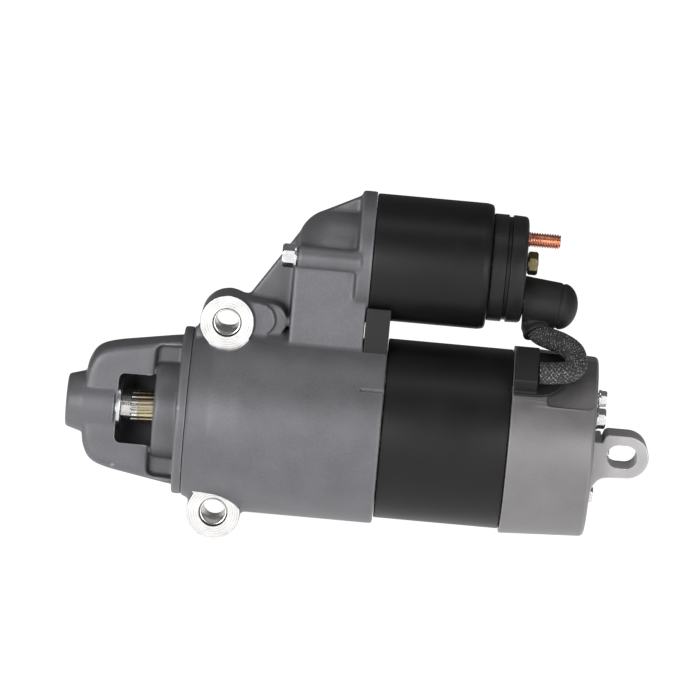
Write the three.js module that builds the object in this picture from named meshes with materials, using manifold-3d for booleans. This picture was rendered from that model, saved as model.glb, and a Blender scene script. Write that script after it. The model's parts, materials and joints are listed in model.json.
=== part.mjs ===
// Pre-engaged starter motor with a planetary reduction and a lever-shifted pinion.
// Millimetres. +X runs along the motor from the nose to the rear, +Z from the motor to the
// solenoid, and -Y is the engine side, where the three mounting faces are.
// Everything is drawn about the motor axis. The last group lifts it onto z = 0.
import * as THREE from 'three';
import { mergeVertices } from 'three/addons/utils/BufferGeometryUtils.js';
import Module from 'manifold-3d';

const wasm = await Module();
wasm.setup();

// ---- Driving dimensions ----
const GAP = 0.3; // clearance between pieces that touch
const HALF_LENGTH = 113.75; // the nose tip and the rear ear lie this far from the middle
const AXIS_Z = 46.5; // height of the motor axis above the lowest point
const SOLENOID_Z = 67; // solenoid axis above the motor axis

const HOUSING_R = 37.6;
const HOUSING_X = [-66.2, 9.1];
const RING_BORE_R = 27.1; // seat of the ring gear in the gear housing
const CLUTCH_BAY_R = 32;

const FLANGE_R = 32.8; // nose flange against the gear housing
const FLANGE_X = [-70.1, HOUSING_X[0] - GAP];
const NOSE_BORE_R = 17; // pinion bay in the nose
const ENGINE_FACE_Y = -10; // flat that passes the flywheel ring gear

const YOKE_R = 35.1;
const YOKE_BORE_R = 32.9;
const YOKE_X = [HOUSING_X[1] + GAP, 58.2];
const COVER_X = [58.5, 91.7];
const COVER_R = [36.7, 35.1]; // at the joint and at the closed end
const COVER_WALL = 2.6;

const BOLT_YZ = [-20.5, 22.2]; // through bolts, this one and its opposite
const BOLT_R = 2.1;

const MOUNT_FACE_Y = -20; // common plane of the three mounting faces
const BOSS_R = 10.5;
const BOSS_BORE_R = 5.65;
const BOSS_BACK_Y = 6;
const UPPER_BOSS = [-53.7, 38.5];
const LOWER_BOSS = [-52.7, BOSS_R - AXIS_Z];

const NECK_X = [-29.5, -0.6];
const NECK_HALF_Y = 19;
const BONNET_R = 17.2;
const PLUNGER_BORE_R = 10.4;
const SOLENOID_FLANGE_X = -5.7;
const SOLENOID_FLANGE_R = 25.3;
const SCREW_YZ = [[-22, SOLENOID_Z], [22, SOLENOID_Z]];
const SCREW_SEAT_X = [-28.8, -23.6]; // ends of the near and far screw bosses
const SCREW_BOSS_R = 4.4;
const SCREW_END_X = -0.8; // tips of the solenoid screws, short of the case wall

const CASE_X = [GAP, 45.8];
const CASE_R = 24.6;
const CAP_X = [46.1, 59.8];
const CAP_R = 20.9;
const STUD_OFFSET_Z = [12, -11.5]; // battery and motor terminals from the solenoid axis
const STUD_R = 3;
const SWITCH_YZ = [-9, SOLENOID_Z + 3.9]; // signal wire terminal

const PIVOT = [-17, 39.1]; // shift lever pivot
const LEVER_TIP = [-22, 66.5]; // upper end of the lever, in the plunger's slot
const PLUNGER_X = [-27, 22];
const PLUNGER_CHAMFER = 3.2;
const COLLAR_X = -15; // middle of the clutch collar groove at rest

const SHAFT_R = 6.4;
const SLIDING_BORE_R = 6.8;

const GEAR_MODULE = 1;
const SUN_TEETH = 12;
const PLANET_TEETH = 18;
const RING_TEETH = SUN_TEETH + 2 * PLANET_TEETH;
const PLANETS = 3;
const GEAR_CENTRES = (GEAR_MODULE * (SUN_TEETH + PLANET_TEETH)) / 2;
const GEAR_X = [-2.8, 8.4];
const PINION_MODULE = 2;
const PINION_TEETH = 13;
const PINION_X = [-78, -62];

const MAGNETS = 4;
const ARMATURE_R = 26.5;
const CORE_X = [14, 50];
const BRUSHES = 4;
const COMMUTATOR_R = 14;
const COMMUTATOR_X = [59, 72];

// ---- Materials ----
const finish = (color, roughness, metalness) =>
  new THREE.MeshStandardMaterial({ color, roughness, metalness });
const castPaint = () => finish(0x6f7073, 0.5, 0.35);
const blackPaint = () => finish(0x1b1b1c, 0.42, 0.3);
const bareAluminium = () => finish(0x8f8c8d, 0.45, 0.8);
const machinedSteel = () => finish(0xb9bbbe, 0.3, 1);
const darkSteel = () => finish(0x5b5d61, 0.45, 0.9);
const zincPlate = () => finish(0xc9ccd0, 0.3, 1);
const bronze = () => finish(0x9a6b3a, 0.4, 0.9);
const copper = () => finish(0xc77a58, 0.35, 1);
const brass = () => finish(0x9c8b52, 0.4, 0.9);
const rubber = () => finish(0x161617, 0.75, 0);
const blackPlastic = () => finish(0x1f1f21, 0.45, 0);
const braid = () => finish(0x2a2a2b, 0.85, 0);
const carbon = () => finish(0x2f2f31, 0.7, 0.1);
const ferrite = () => finish(0x37383b, 0.7, 0.2);
const nylon = () => finish(0xc9c2ae, 0.6, 0);

// ---- Geometry helpers ----
const TAU = Math.PI * 2;
const alongX = new THREE.Matrix4().makeBasis(
  new THREE.Vector3(0, 1, 0),
  new THREE.Vector3(0, 0, 1),
  new THREE.Vector3(1, 0, 0),
);

// A closed three.js geometry as a solid that can be joined and cut.
function solid(geometry) {
  const bare = geometry.clone();
  bare.deleteAttribute('normal');
  bare.deleteAttribute('uv');
  const welded = mergeVertices(bare, 1e-5);
  const mesh = new wasm.Mesh({
    numProp: 3,
    vertProperties: new Float32Array(welded.attributes.position.array),
    triVerts: new Uint32Array(welded.index.array),
  });
  mesh.merge();
  return new wasm.Manifold(mesh);
}

function geometryOf(manifold) {
  const mesh = manifold.getMesh();
  const geometry = new THREE.BufferGeometry();
  geometry.setAttribute('position', new THREE.BufferAttribute(mesh.vertProperties, 3));
  geometry.setIndex(new THREE.BufferAttribute(mesh.triVerts, 1));
  geometry.computeVertexNormals();
  return geometry;
}

const join = (...pieces) => pieces.reduce((whole, piece) => whole.add(piece));
const cut = (body, ...tools) => tools.reduce((rest, tool) => rest.subtract(tool), body);

// Outline of [x, r] points turned about the X axis.
function turned(outline, segments = 32) {
  let doubleArea = 0;
  outline.forEach(([x, r], i) => {
    const [nextX, nextR] = outline[(i + 1) % outline.length];
    doubleArea += x * nextR - nextX * r;
  });
  const ordered = doubleArea > 0 ? [...outline].reverse() : outline;
  const points = ordered.map(([x, r]) => new THREE.Vector2(r, x));
  const geometry = new THREE.LatheGeometry(points, segments);
  geometry.rotateZ(-Math.PI / 2);
  return geometry;
}

const bar = (x0, x1, r, segments = 32) => turned([[x0, 0], [x0, r], [x1, r], [x1, 0]], segments);

const tube = (x0, x1, inner, outer, segments = 32) =>
  turned([[x0, inner], [x0, outer], [x1, outer], [x1, inner], [x0, inner]], segments);

const rodAt = (x0, x1, r, y, z, segments = 16) => bar(x0, x1, r, segments).translate(0, y, z);

// A round bar across the motor, from y0 to y1.
const crossBar = (x, z, r, y0, y1, segments = 20) =>
  new THREE.CylinderGeometry(r, r, y1 - y0, segments).translate(x, (y0 + y1) / 2, z);

const block = ([x0, x1], [y0, y1], [z0, z1]) =>
  new THREE.BoxGeometry(x1 - x0, y1 - y0, z1 - z0).translate(
    (x0 + x1) / 2, (y0 + y1) / 2, (z0 + z1) / 2);

// An outline drawn in x and z, given thickness from y0 to y1.
function plate(shape, y0, y1, curveSegments = 8) {
  const options = { depth: y1 - y0, bevelEnabled: false, curveSegments };
  return new THREE.ExtrudeGeometry(shape, options).rotateX(Math.PI / 2).translate(0, y1, 0);
}

// An outline drawn in y and z, given thickness from x0 to x1.
function slab(shape, x0, x1, curveSegments = 12) {
  const options = { depth: x1 - x0, bevelEnabled: false, curveSegments };
  return new THREE.ExtrudeGeometry(shape, options).applyMatrix4(alongX).translate(x0, 0, 0);
}

const polygon = (points) => new THREE.Shape(points.map(([a, b]) => new THREE.Vector2(a, b)));

function circlePath(r, segments = 32) {
  const points = [];
  for (let i = 0; i < segments; i += 1) {
    const a = (i / segments) * TAU;
    points.push(new THREE.Vector2(r * Math.cos(a), r * Math.sin(a)));
  }
  return new THREE.Path(points);
}

const hexPrism = (x0, x1, acrossFlats, y, z) =>
  bar(x0, x1, acrossFlats / Math.sqrt(3), 6).translate(0, y, z);

function tubeAlong(points, r, sides, steps) {
  const curve = new THREE.CatmullRomCurve3(points.map(([x, y, z]) => new THREE.Vector3(x, y, z)));
  const section = new THREE.Shape(circlePath(r, sides).getPoints());
  return new THREE.ExtrudeGeometry(section, { steps, extrudePath: curve, bevelEnabled: false });
}

// Involute gear outline, 20 degree pressure angle. thin is taken off each flank, in mm.
function gearOutline(teeth, module, addendum, dedendum, thin, turn) {
  const pitchR = (module * teeth) / 2;
  const pressure = (20 * Math.PI) / 180;
  const baseR = pitchR * Math.cos(pressure);
  const involute = (angle) => Math.tan(angle) - angle;
  const halfAngle = (r) => {
    const local = Math.acos(Math.min(1, baseR / Math.max(r, baseR)));
    const pitchHalf = Math.PI / (2 * teeth) - thin / pitchR;
    return pitchHalf + involute(pressure) - involute(local);
  };
  const radii = [pitchR - dedendum, pitchR + addendum];
  const points = [];
  for (let tooth = 0; tooth < teeth; tooth += 1) {
    const centre = turn + (tooth / teeth) * TAU;
    const flank = radii.map((r) => [r, halfAngle(r)]);
    flank.forEach(([r, half]) => points.push([r, centre - half]));
    flank.reverse().forEach(([r, half]) => points.push([r, centre + half]));
  }
  return points.map(([r, a]) => new THREE.Vector2(r * Math.cos(a), r * Math.sin(a)));
}

const model = new THREE.Group();
model.position.z = AXIS_Z;

function node(name, geometry, material) {
  const mesh = new THREE.Mesh(geometry, material);
  mesh.name = name;
  model.add(mesh);
  return mesh;
}

// ---- Castings ----
const tipX = -HALF_LENGTH;
const noseOutline = [
  [tipX, 0], [tipX, 9.8], [tipX + 1, 11], [-107.5, 12], [-106.3, 16.6], [-104, 21.1],
  [-101.7, 23], [-99.3, 24], [-97, 24.6], [-94.6, 25.2], [-71.2, 29.1], [-71.2, 0],
];
const windowX = [-93.9, -79.4]; // where the pinion bay breaks through the engine flat
const stopPocketR = 10.3;
const bushPocketR = 9;

function noseHousing() {
  const bell = solid(turned(noseOutline));
  const flat = solid(block([windowX[0] - 30, FLANGE_X[0]], [-60, ENGINE_FACE_Y], [-60, 60]));
  const tip = solid(turned([[tipX, 0], [tipX, 9.8], [tipX + 1, 11], [-107.5, 12],
    [windowX[0] - 1, 12], [windowX[0] - 1, 0]]));
  const drum = solid(turned([[windowX[1], 0], [windowX[1], 18.3], [windowX[1] + 1.2, 19.5],
    [FLANGE_X[0], 19.5], [FLANGE_X[0], 0]]));
  const web = solid(plate(polygon([[windowX[1], -26.4], [FLANGE_X[0] + 1, -28.6],
    [FLANGE_X[0] + 1, 28.6], [windowX[1], 26.4]]), -5, 12));
  const flange = solid(bar(FLANGE_X[0], FLANGE_X[1], FLANGE_R));
  const pocket = solid(block([windowX[1], FLANGE_X[0]], [-40, -5], [-25.5, 25.5]));
  const bay = solid(turned([
    [-111, 0], [-111, bushPocketR], [-97.5, bushPocketR], [-97.5, stopPocketR],
    [windowX[0], stopPocketR], [windowX[0], NOSE_BORE_R], [-68.6, NOSE_BORE_R], [-68.6, 23],
    [-60, 23], [-60, 0]]));
  const shell = join(cut(bell, flat, pocket), tip, drum, web, flange);
  return geometryOf(cut(shell, bay));
}

function boss([x, z]) {
  return solid(crossBar(x, z, BOSS_R, MOUNT_FACE_Y, BOSS_BACK_Y, 32));
}

// The milled flats that clear the barrel in front of the two mounting faces.
function millingCuts() {
  const [x, z] = LOWER_BOSS;
  const lower = polygon([[x - 12, z - 12], [x + 12, z - 12], [x + 11.6, z + 0.3], [x + 10.2, z + 1.9],
    [x + 5.5, z + 5.5], [x, z + 7.5], [x - 7.9, z + 7.6], [x - 12, z + 7]]);
  return [
    solid(crossBar(...UPPER_BOSS, BOSS_R + GAP, -45, MOUNT_FACE_Y, 32)),
    solid(plate(lower, -45, MOUNT_FACE_Y)),
  ];
}

const bossBore = ([x, z]) => solid(crossBar(x, z, BOSS_BORE_R, -45, 45));

function neckOutline() {
  const shape = new THREE.Shape();
  shape.moveTo(NECK_X[1], 20);
  shape.lineTo(NECK_X[1], SOLENOID_Z);
  shape.lineTo(NECK_X[0], SOLENOID_Z);
  shape.lineTo(NECK_X[0], 20);
  shape.closePath();
  return shape;
}

function bonnet() {
  const left = NECK_X[0];
  const flatR = 3;
  const depth = 15;
  const outline = [[left, 0], [left, flatR]];
  for (let i = 1; i <= 8; i += 1) {
    const a = (i / 8) * (Math.PI / 2);
    outline.push([left + depth * (1 - Math.cos(a)), flatR + (BONNET_R - flatR) * Math.sin(a)]);
  }
  outline.push([SOLENOID_FLANGE_X, BONNET_R], [SOLENOID_FLANGE_X, 0]);
  return solid(turned(outline, 40).translate(0, 0, SOLENOID_Z));
}

function gearHousing() {
  const barrel = solid(turned([[HOUSING_X[0], 0], [HOUSING_X[0], 33], [-57, 36.4], [-46, HOUSING_R],
    [HOUSING_X[1], HOUSING_R], [HOUSING_X[1], 0]]));
  const neck = solid(plate(neckOutline(), -NECK_HALF_Y, NECK_HALF_Y));
  const flange = solid(
    bar(SOLENOID_FLANGE_X, 0, SOLENOID_FLANGE_R, 40).translate(0, 0, SOLENOID_Z));
  const gusset = solid(plate(polygon([[-24, SOLENOID_Z + 12], [-22, 82], [SOLENOID_FLANGE_X + 1, 90.5],
    [SOLENOID_FLANGE_X + 1, SOLENOID_Z + 12]]), -4, 4));
  const web = solid(plate(polygon([[-52, 35], [-46.7, 47], [NECK_X[0] + 1, 74.5],
    [NECK_X[0] + 1, 35]]), -3, 4));
  const arm = solid(plate(polygon([UPPER_BOSS, [-52, 30], [-33, 33], [-30.5, 37], [-30.5, 44],
    [-33, 46.5], [UPPER_BOSS[0], 48.8]]), -16, 4));
  const screwBosses = SCREW_YZ.map(([y, z], i) =>
    solid(rodAt(SCREW_SEAT_X[i], SOLENOID_FLANGE_X + 1, SCREW_BOSS_R, y, z)));
  const screwRoots = SCREW_YZ.map(([y, z], i) => solid(
    block([SCREW_SEAT_X[i], SOLENOID_FLANGE_X + 1], [Math.min(0, y), Math.max(0, y)], [z - 4, z + 4])));
  const lug = solid(block([HOUSING_X[0], -56], [-14, -4], [26, 35.5]));
  const body = join(barrel, neck, flange, bonnet(), gusset, web, arm, boss(UPPER_BOSS),
    boss(LOWER_BOSS), lug, ...screwBosses, ...screwRoots);

  const bay = solid(turned([[-70, 0], [-70, 27.5], [-46, 27.5], [-42, CLUTCH_BAY_R],
    [-9.5, CLUTCH_BAY_R], [-9.5, RING_BORE_R], [20, RING_BORE_R], [20, 0]]));
  const plungerBore = solid(solenoidPiece([[PLUNGER_X[0] - 0.6, 0],
    [PLUNGER_X[0] - 0.6, PLUNGER_BORE_R - PLUNGER_CHAMFER], [PLUNGER_X[0] + 2.4, PLUNGER_BORE_R],
    [10, PLUNGER_BORE_R], [10, 0]]));
  const leverSlot = solid(block([-27, -6], [-5, 5], [25, SOLENOID_Z]));
  const pivotHole = solid(crossBar(PIVOT[0], PIVOT[1], 3 + GAP, -13, 13, 16));
  const grommetSeat = solid(block([NECK_X[1], 20], [-20, 20], [28.7, 41]));
  const screwHoles = SCREW_YZ.map(([y, z]) => solid(rodAt(-40, 5, 2.5, y, z, 12)));
  const screwSeats = SCREW_YZ.map(([y, z], i) => solid(rodAt(-40, SCREW_SEAT_X[i], 5.3, y, z)));
  const boltHoles = [1, -1].map((side) =>
    solid(rodAt(-5, 20, BOLT_R + GAP, side * BOLT_YZ[0], side * BOLT_YZ[1], 12)));
  return geometryOf(cut(body, bay, plungerBore, leverSlot, pivotHole, grommetSeat,
    bossBore(UPPER_BOSS), bossBore(LOWER_BOSS), ...millingCuts(), ...screwHoles, ...screwSeats,
    ...boltHoles));
}

function rearCover() {
  const [x0, x1] = COVER_X;
  const [rFront, rBack] = COVER_R;
  const shell = solid(turned([
    [x0, rFront - COVER_WALL], [x0, rFront], [x1 - 1.6, rBack], [x1, rBack - 1.6], [x1, 0],
    [x1 - 1.5, 0], [x1 - 1.5, 7.4], [x1 - 10, 7.4], [x1 - 10, 10.4], [x1 - 3, 10.4],
    [x1 - 3, rBack - COVER_WALL - 1], [x0, rFront - COVER_WALL]]));
  const boltHoles = [1, -1].map((side) =>
    solid(rodAt(x0 + 5, x1 + 5, BOLT_R + GAP, side * BOLT_YZ[0], side * BOLT_YZ[1], 12)));
  return geometryOf(cut(shell, ...boltHoles));
}

const EAR_CENTRE = [HALF_LENGTH - 8.2, 0];
const EAR_R = 8.2;
const EAR_DEPTH = 20;
const SLOT_SIZE = [12, 9];

function slotPath(length, width) {
  const r = width / 2;
  const half = length / 2 - r;
  const path = new THREE.Path();
  const x = EAR_CENTRE[0] - 2.2;
  path.moveTo(x - half, -r);
  path.lineTo(x + half, -r);
  path.absarc(x + half, 0, r, -Math.PI / 2, Math.PI / 2, false);
  path.lineTo(x - half, r);
  path.absarc(x - half, 0, r, Math.PI / 2, (3 * Math.PI) / 2, false);
  return path;
}

function rearBracket() {
  const foot = COVER_X[1] + GAP;
  const shape = new THREE.Shape();
  shape.moveTo(foot, -17);
  shape.quadraticCurveTo(foot + 3, -9.5, foot + 7, -9);
  shape.lineTo(EAR_CENTRE[0], -EAR_R);
  shape.absarc(EAR_CENTRE[0], 0, EAR_R, -Math.PI / 2, Math.PI / 2, false);
  shape.lineTo(foot + 5.5, EAR_R);
  shape.lineTo(foot + 3.4, 4.9);
  shape.lineTo(foot, 4.9);
  shape.closePath();
  shape.holes.push(slotPath(...SLOT_SIZE));
  const ear = solid(plate(shape, MOUNT_FACE_Y, MOUNT_FACE_Y + EAR_DEPTH));
  const base = solid(plate(polygon([[foot, -12], [foot + 1.2, -12], [foot + 3.6, -9], [foot + 3.6, 4.9],
    [foot, 4.9]]), MOUNT_FACE_Y, 12));
  const hole = solid(rodAt(foot - 5, foot + 10, 2.5, 6, -4, 12));
  return geometryOf(cut(join(ear, base), hole));
}

// ---- Fasteners ----
function headedScrew(x, direction, headLength, acrossFlats, shankLength, shankR, [y, z]) {
  const ends = (a, b) => [Math.min(a, b), Math.max(a, b)];
  const washer = solid(rodAt(...ends(x, x - direction * 1), acrossFlats * 0.62, y, z, 12));
  const head = solid(
    hexPrism(...ends(x - direction * 0.9, x - direction * headLength), acrossFlats, y, z));
  const shank = solid(rodAt(...ends(x - direction * 0.5, x + direction * shankLength), shankR, y, z, 12));
  return geometryOf(join(washer, head, shank));
}

// ---- Solenoid ----
const coilX = [5, 37];

function solenoidCase() {
  const [x0, x1] = CASE_X;
  const bore = CASE_R - 2;
  return turned([
    [x0, PLUNGER_BORE_R], [x0, CASE_R - 0.8], [x0 + 0.8, CASE_R], [x1 - 1.5, CASE_R],
    [x1, CASE_R - 1.5], [x1, bore], [x0 + 3, bore], [x0 + 3, PLUNGER_BORE_R],
    [x0, PLUNGER_BORE_R]]).translate(0, 0, SOLENOID_Z);
}

function solenoidCap() {
  const [x0, x1] = CAP_X;
  const shell = solid(turned([
    [x0, 19], [x0, CAP_R], [x0 + 6, CAP_R], [x0 + 6.3, CAP_R - 0.7], [x0 + 7.3, CAP_R - 0.7],
    [x0 + 7.6, CAP_R], [x1 - 1.2, CAP_R], [x1, CAP_R - 1.2], [x1, 0], [x1 - 3.9, 0],
    [x1 - 3.9, 19], [x0, 19]]).translate(0, 0, SOLENOID_Z));
  const studHoles = STUD_OFFSET_Z.map((z) =>
    solid(rodAt(50, 70, STUD_R + GAP, 0, SOLENOID_Z + z, 16)));
  const switchHole = solid(rodAt(50, 70, 1.8, SWITCH_YZ[0], SWITCH_YZ[1], 12));
  return geometryOf(cut(shell, ...studHoles, switchHole));
}

function terminalStud(offsetZ, endX) {
  const head = solid(rodAt(52.6, 55.6, 5.4, 0, SOLENOID_Z + offsetZ, 24));
  const shank = solid(rodAt(55, endX, STUD_R, 0, SOLENOID_Z + offsetZ, 16));
  return geometryOf(join(head, shank));
}

function hexNut(x0, x1, acrossFlats, bore, y, z) {
  const body = solid(hexPrism(x0, x1, acrossFlats, y, z));
  return geometryOf(cut(body, solid(rodAt(x0 - 5, x1 + 5, bore, y, z, 16))));
}

const solenoidPiece = (outline, segments = 24) =>
  turned(outline, segments).translate(0, 0, SOLENOID_Z);

function plunger() {
  const r = PLUNGER_BORE_R - 0.6;
  const rod = solid(solenoidPiece([[PLUNGER_X[0], 0], [PLUNGER_X[0], r - PLUNGER_CHAMFER],
    [PLUNGER_X[0] + 3, r], [PLUNGER_X[1], r], [PLUNGER_X[1], 0]]));
  const slotX = [LEVER_TIP[0] - 3.7, LEVER_TIP[0] + 3.7];
  const slot = solid(block(slotX, [-3.5, 3.5], [SOLENOID_Z - 20, SOLENOID_Z + 4]));
  const recess = solid(rodAt(12, 30, 7.6, 0, SOLENOID_Z, 20));
  return geometryOf(cut(rod, slot, recess));
}

function springCoil() {
  const turns = 6;
  const points = [];
  for (let i = 0; i <= turns * 8; i += 1) {
    const a = (i / 8) * TAU;
    const x = 13.1 + (i / (turns * 8)) * 18.3;
    points.push([x, 6 * Math.cos(a), SOLENOID_Z + 6 * Math.sin(a)]);
  }
  return tubeAlong(points, 0.7, 4, turns * 9);
}

function shiftLever() {
  const [px, pz] = PIVOT;
  const [topX, topZ] = LEVER_TIP;
  const stem = solid(plate(polygon([[COLLAR_X - 1.4, 19.5], [COLLAR_X + 2.4, 19.5], [px + 4.8, pz],
    [px + 0.6, pz + 9], [topX + 1.3, topZ], [topX - 1.3, topZ], [px - 3.8, pz + 9],
    [px - 4.8, pz - 2]]), -3, 3));
  const tip = solid(crossBar(topX, topZ, 2.7, -3, 3, 16));
  const bridge = solid(block([COLLAR_X - 3, COLLAR_X + 2.4], [-17.4, 17.4], [19, 24]));
  const arms = [1, -1].map((side) => {
    const ends = [side * 14.5, side * 17.4].sort((a, b) => a - b);
    return solid(plate(polygon([[COLLAR_X - 2.2, 0], [COLLAR_X + 2.2, 0], [COLLAR_X + 2.4, 24],
      [COLLAR_X - 3, 24]]), ...ends));
  });
  const pegs = [1, -1].map((side) => {
    const ends = [side * 10.6, side * 17.4].sort((a, b) => a - b);
    return solid(crossBar(COLLAR_X, 0, 2.5, ...ends, 16));
  });
  const bore = solid(crossBar(px, pz, 3 + GAP, -10, 10, 16));
  return geometryOf(cut(join(stem, tip, bridge, ...arms, ...pegs), bore));
}

// ---- Drive ----
function outputShaft() {
  const shaft = solid(turned([[-110.5, 0], [-110.5, SHAFT_R - 0.6], [-110, SHAFT_R], [-8.5, SHAFT_R],
    [-8.5, 21], [GEAR_X[0] - 0.7, 21], [GEAR_X[0] - 0.7, 0]], 24));
  const pilot = solid(rodAt(-8, -2, 4.6, 0, 0, 20));
  const pins = planetAngles().map((a) => {
    const y = GEAR_CENTRES * Math.cos(a);
    const z = GEAR_CENTRES * Math.sin(a);
    return solid(rodAt(GEAR_X[0] - 2, GEAR_X[1], 2.8, y, z, 12));
  });
  return geometryOf(cut(join(shaft, ...pins), pilot));
}

function planetAngles() {
  return Array.from({ length: PLANETS }, (_, i) => Math.PI / 2 + (i * TAU) / PLANETS);
}

function planetGear(angle) {
  const halfTooth = Math.PI / PLANET_TEETH;
  const shape = new THREE.Shape(gearOutline(PLANET_TEETH, GEAR_MODULE, 0.8, 1.2, 0.1, angle + halfTooth));
  shape.holes.push(circlePath(3, 12));
  const y = GEAR_CENTRES * Math.cos(angle);
  const z = GEAR_CENTRES * Math.sin(angle);
  return slab(shape, GEAR_X[0], GEAR_X[1] - 0.4).translate(0, y, z);
}

function ringGear() {
  const shape = new THREE.Shape(circlePath(RING_BORE_R - GAP, 32).getPoints());
  const turn = Math.PI / 2 + Math.PI / RING_TEETH;
  shape.holes.push(new THREE.Path(gearOutline(RING_TEETH, GEAR_MODULE, 1.2, 0.8, -0.1, turn)));
  return slab(shape, GEAR_X[0] - 0.2, HOUSING_X[1] - GAP);
}

function armatureShaft() {
  const sun = new THREE.Shape(gearOutline(SUN_TEETH, GEAR_MODULE, 0.8, 1.2, 0.1, Math.PI / 2));
  const teeth = solid(slab(sun, GEAR_X[0], GEAR_X[1] + 0.1));
  const shaft = solid(turned([[-6, 0], [-6, 4.2], [GEAR_X[1], 4.2], [GEAR_X[1], 5], [11.9, 5],
    [11.9, 7.5], [79.5, 7.5], [79.5, 5], [89.5, 5], [89.5, 0]], 24));
  return geometryOf(join(shaft, teeth));
}

function clutchSleeve() {
  return turned([[-33.7, SLIDING_BORE_R], [-33.7, 10], [COLLAR_X - 5.4, 10], [COLLAR_X - 5.4, 14],
    [COLLAR_X - 3.2, 14], [COLLAR_X - 3.2, 10], [COLLAR_X + 3.2, 10], [COLLAR_X + 3.2, 14],
    [COLLAR_X + 5, 14], [COLLAR_X + 5, SLIDING_BORE_R], [-33.7, SLIDING_BORE_R]], 24);
}

function clutchDrum() {
  return turned([[-54.3, SLIDING_BORE_R], [-54.3, 19.5], [-53, 21], [-36, 21], [-34, 18],
    [-34, SLIDING_BORE_R], [-54.3, SLIDING_BORE_R]], 24);
}

function pinion() {
  const shape = new THREE.Shape(gearOutline(PINION_TEETH, PINION_MODULE, 2, 2.4, 0.05, Math.PI / 2));
  const teeth = solid(slab(shape, ...PINION_X));
  const hub = solid(bar(PINION_X[1] - 1, -54.6, 11, 24));
  const bore = solid(bar(PINION_X[0] - 5, -50, SLIDING_BORE_R, 24));
  return geometryOf(cut(join(teeth, hub), bore));
}

// ---- Motor ----
function magnet(index) {
  const middle = (index * TAU) / MAGNETS;
  const half = 0.6;
  const shape = new THREE.Shape();
  shape.absarc(0, 0, YOKE_BORE_R - GAP, middle - half, middle + half, false);
  shape.absarc(0, 0, ARMATURE_R + 0.6, middle + half, middle - half, true);
  return slab(shape, ...CORE_X, 8);
}

function armatureCore() {
  const slots = 12;
  const points = [];
  for (let i = 0; i < slots; i += 1) {
    const a = (i / slots) * TAU;
    [[ARMATURE_R, -0.22], [ARMATURE_R, 0], [ARMATURE_R, 0.22], [ARMATURE_R - 3, 0.22],
      [ARMATURE_R - 3, 0.3]].forEach(([r, step]) =>
      points.push(new THREE.Vector2(r * Math.cos(a + step), r * Math.sin(a + step))));
  }
  const shape = new THREE.Shape(points);
  shape.holes.push(circlePath(7.5 + GAP, 16));
  return slab(shape, ...CORE_X);
}

function commutator() {
  const bars = 16;
  const points = [];
  for (let i = 0; i < bars; i += 1) {
    const a = (i / bars) * TAU;
    [[COMMUTATOR_R, 0], [COMMUTATOR_R, 0.32], [COMMUTATOR_R - 0.8, 0.32], [COMMUTATOR_R - 0.8, TAU / bars]]
      .forEach(([r, step]) => points.push(new THREE.Vector2(r * Math.cos(a + step), r * Math.sin(a + step))));
  }
  const shape = new THREE.Shape(points);
  shape.holes.push(circlePath(7.5 + GAP, 16));
  return slab(shape, ...COMMUTATOR_X);
}

const brushAngle = (i) => (i * TAU) / BRUSHES;
const BRUSH_R = [COMMUTATOR_R + GAP, 26];

function brush(i) {
  return block([60, 71], [BRUSH_R[0], BRUSH_R[1]], [-3.5, 3.5]).rotateX(brushAngle(i));
}

function brushHolder() {
  const disc = new THREE.Shape(circlePath(32, 32).getPoints());
  disc.holes.push(circlePath(16, 24));
  const base = solid(slab(disc, 72.5, 74.5));
  const guides = [];
  for (let i = 0; i < BRUSHES; i += 1) {
    [[-5.4, -3.8], [3.8, 5.4]].forEach((z) =>
      guides.push(solid(block([59.5, 73], [17, 30.5], z).rotateX(brushAngle(i)))));
  }
  const boltHoles = [1, -1].map((side) =>
    solid(rodAt(60, 80, BOLT_R + GAP, side * BOLT_YZ[0], side * BOLT_YZ[1], 12)));
  return geometryOf(cut(join(base, ...guides), ...boltHoles));
}

function centrePlate() {
  const disc = new THREE.Shape(circlePath(YOKE_BORE_R - GAP, 32).getPoints());
  disc.holes.push(circlePath(6.2, 24));
  const base = solid(slab(disc, 9.6, 11.6));
  const boltHoles = [1, -1].map((side) =>
    solid(rodAt(0, 20, BOLT_R + GAP, side * BOLT_YZ[0], side * BOLT_YZ[1], 12)));
  return geometryOf(cut(base, ...boltHoles));
}

// ---- Lead, boot and grommets ----
const LEAD_R = 4.2;
const LEAD_ROUTE = [
  [65.6, 0, 48.4], [66, -1, 45.4], [67.6, -3.6, 43], [71.5, -8, 42], [76.5, -14, 41.2],
  [80.8, -20, 39.2], [82, -26, 35.4], [79.4, -29.2, 32.8], [74, -30, 31.8], [68.1, -30, 31.4],
];
const BOOT_X = [60.4, 73.6, 81.5]; // skirt, start of the dome, tip
const BOOT_R = 9.1;
const BOOT_TILT = 6; // degrees, the boot droops with the lead

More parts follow.
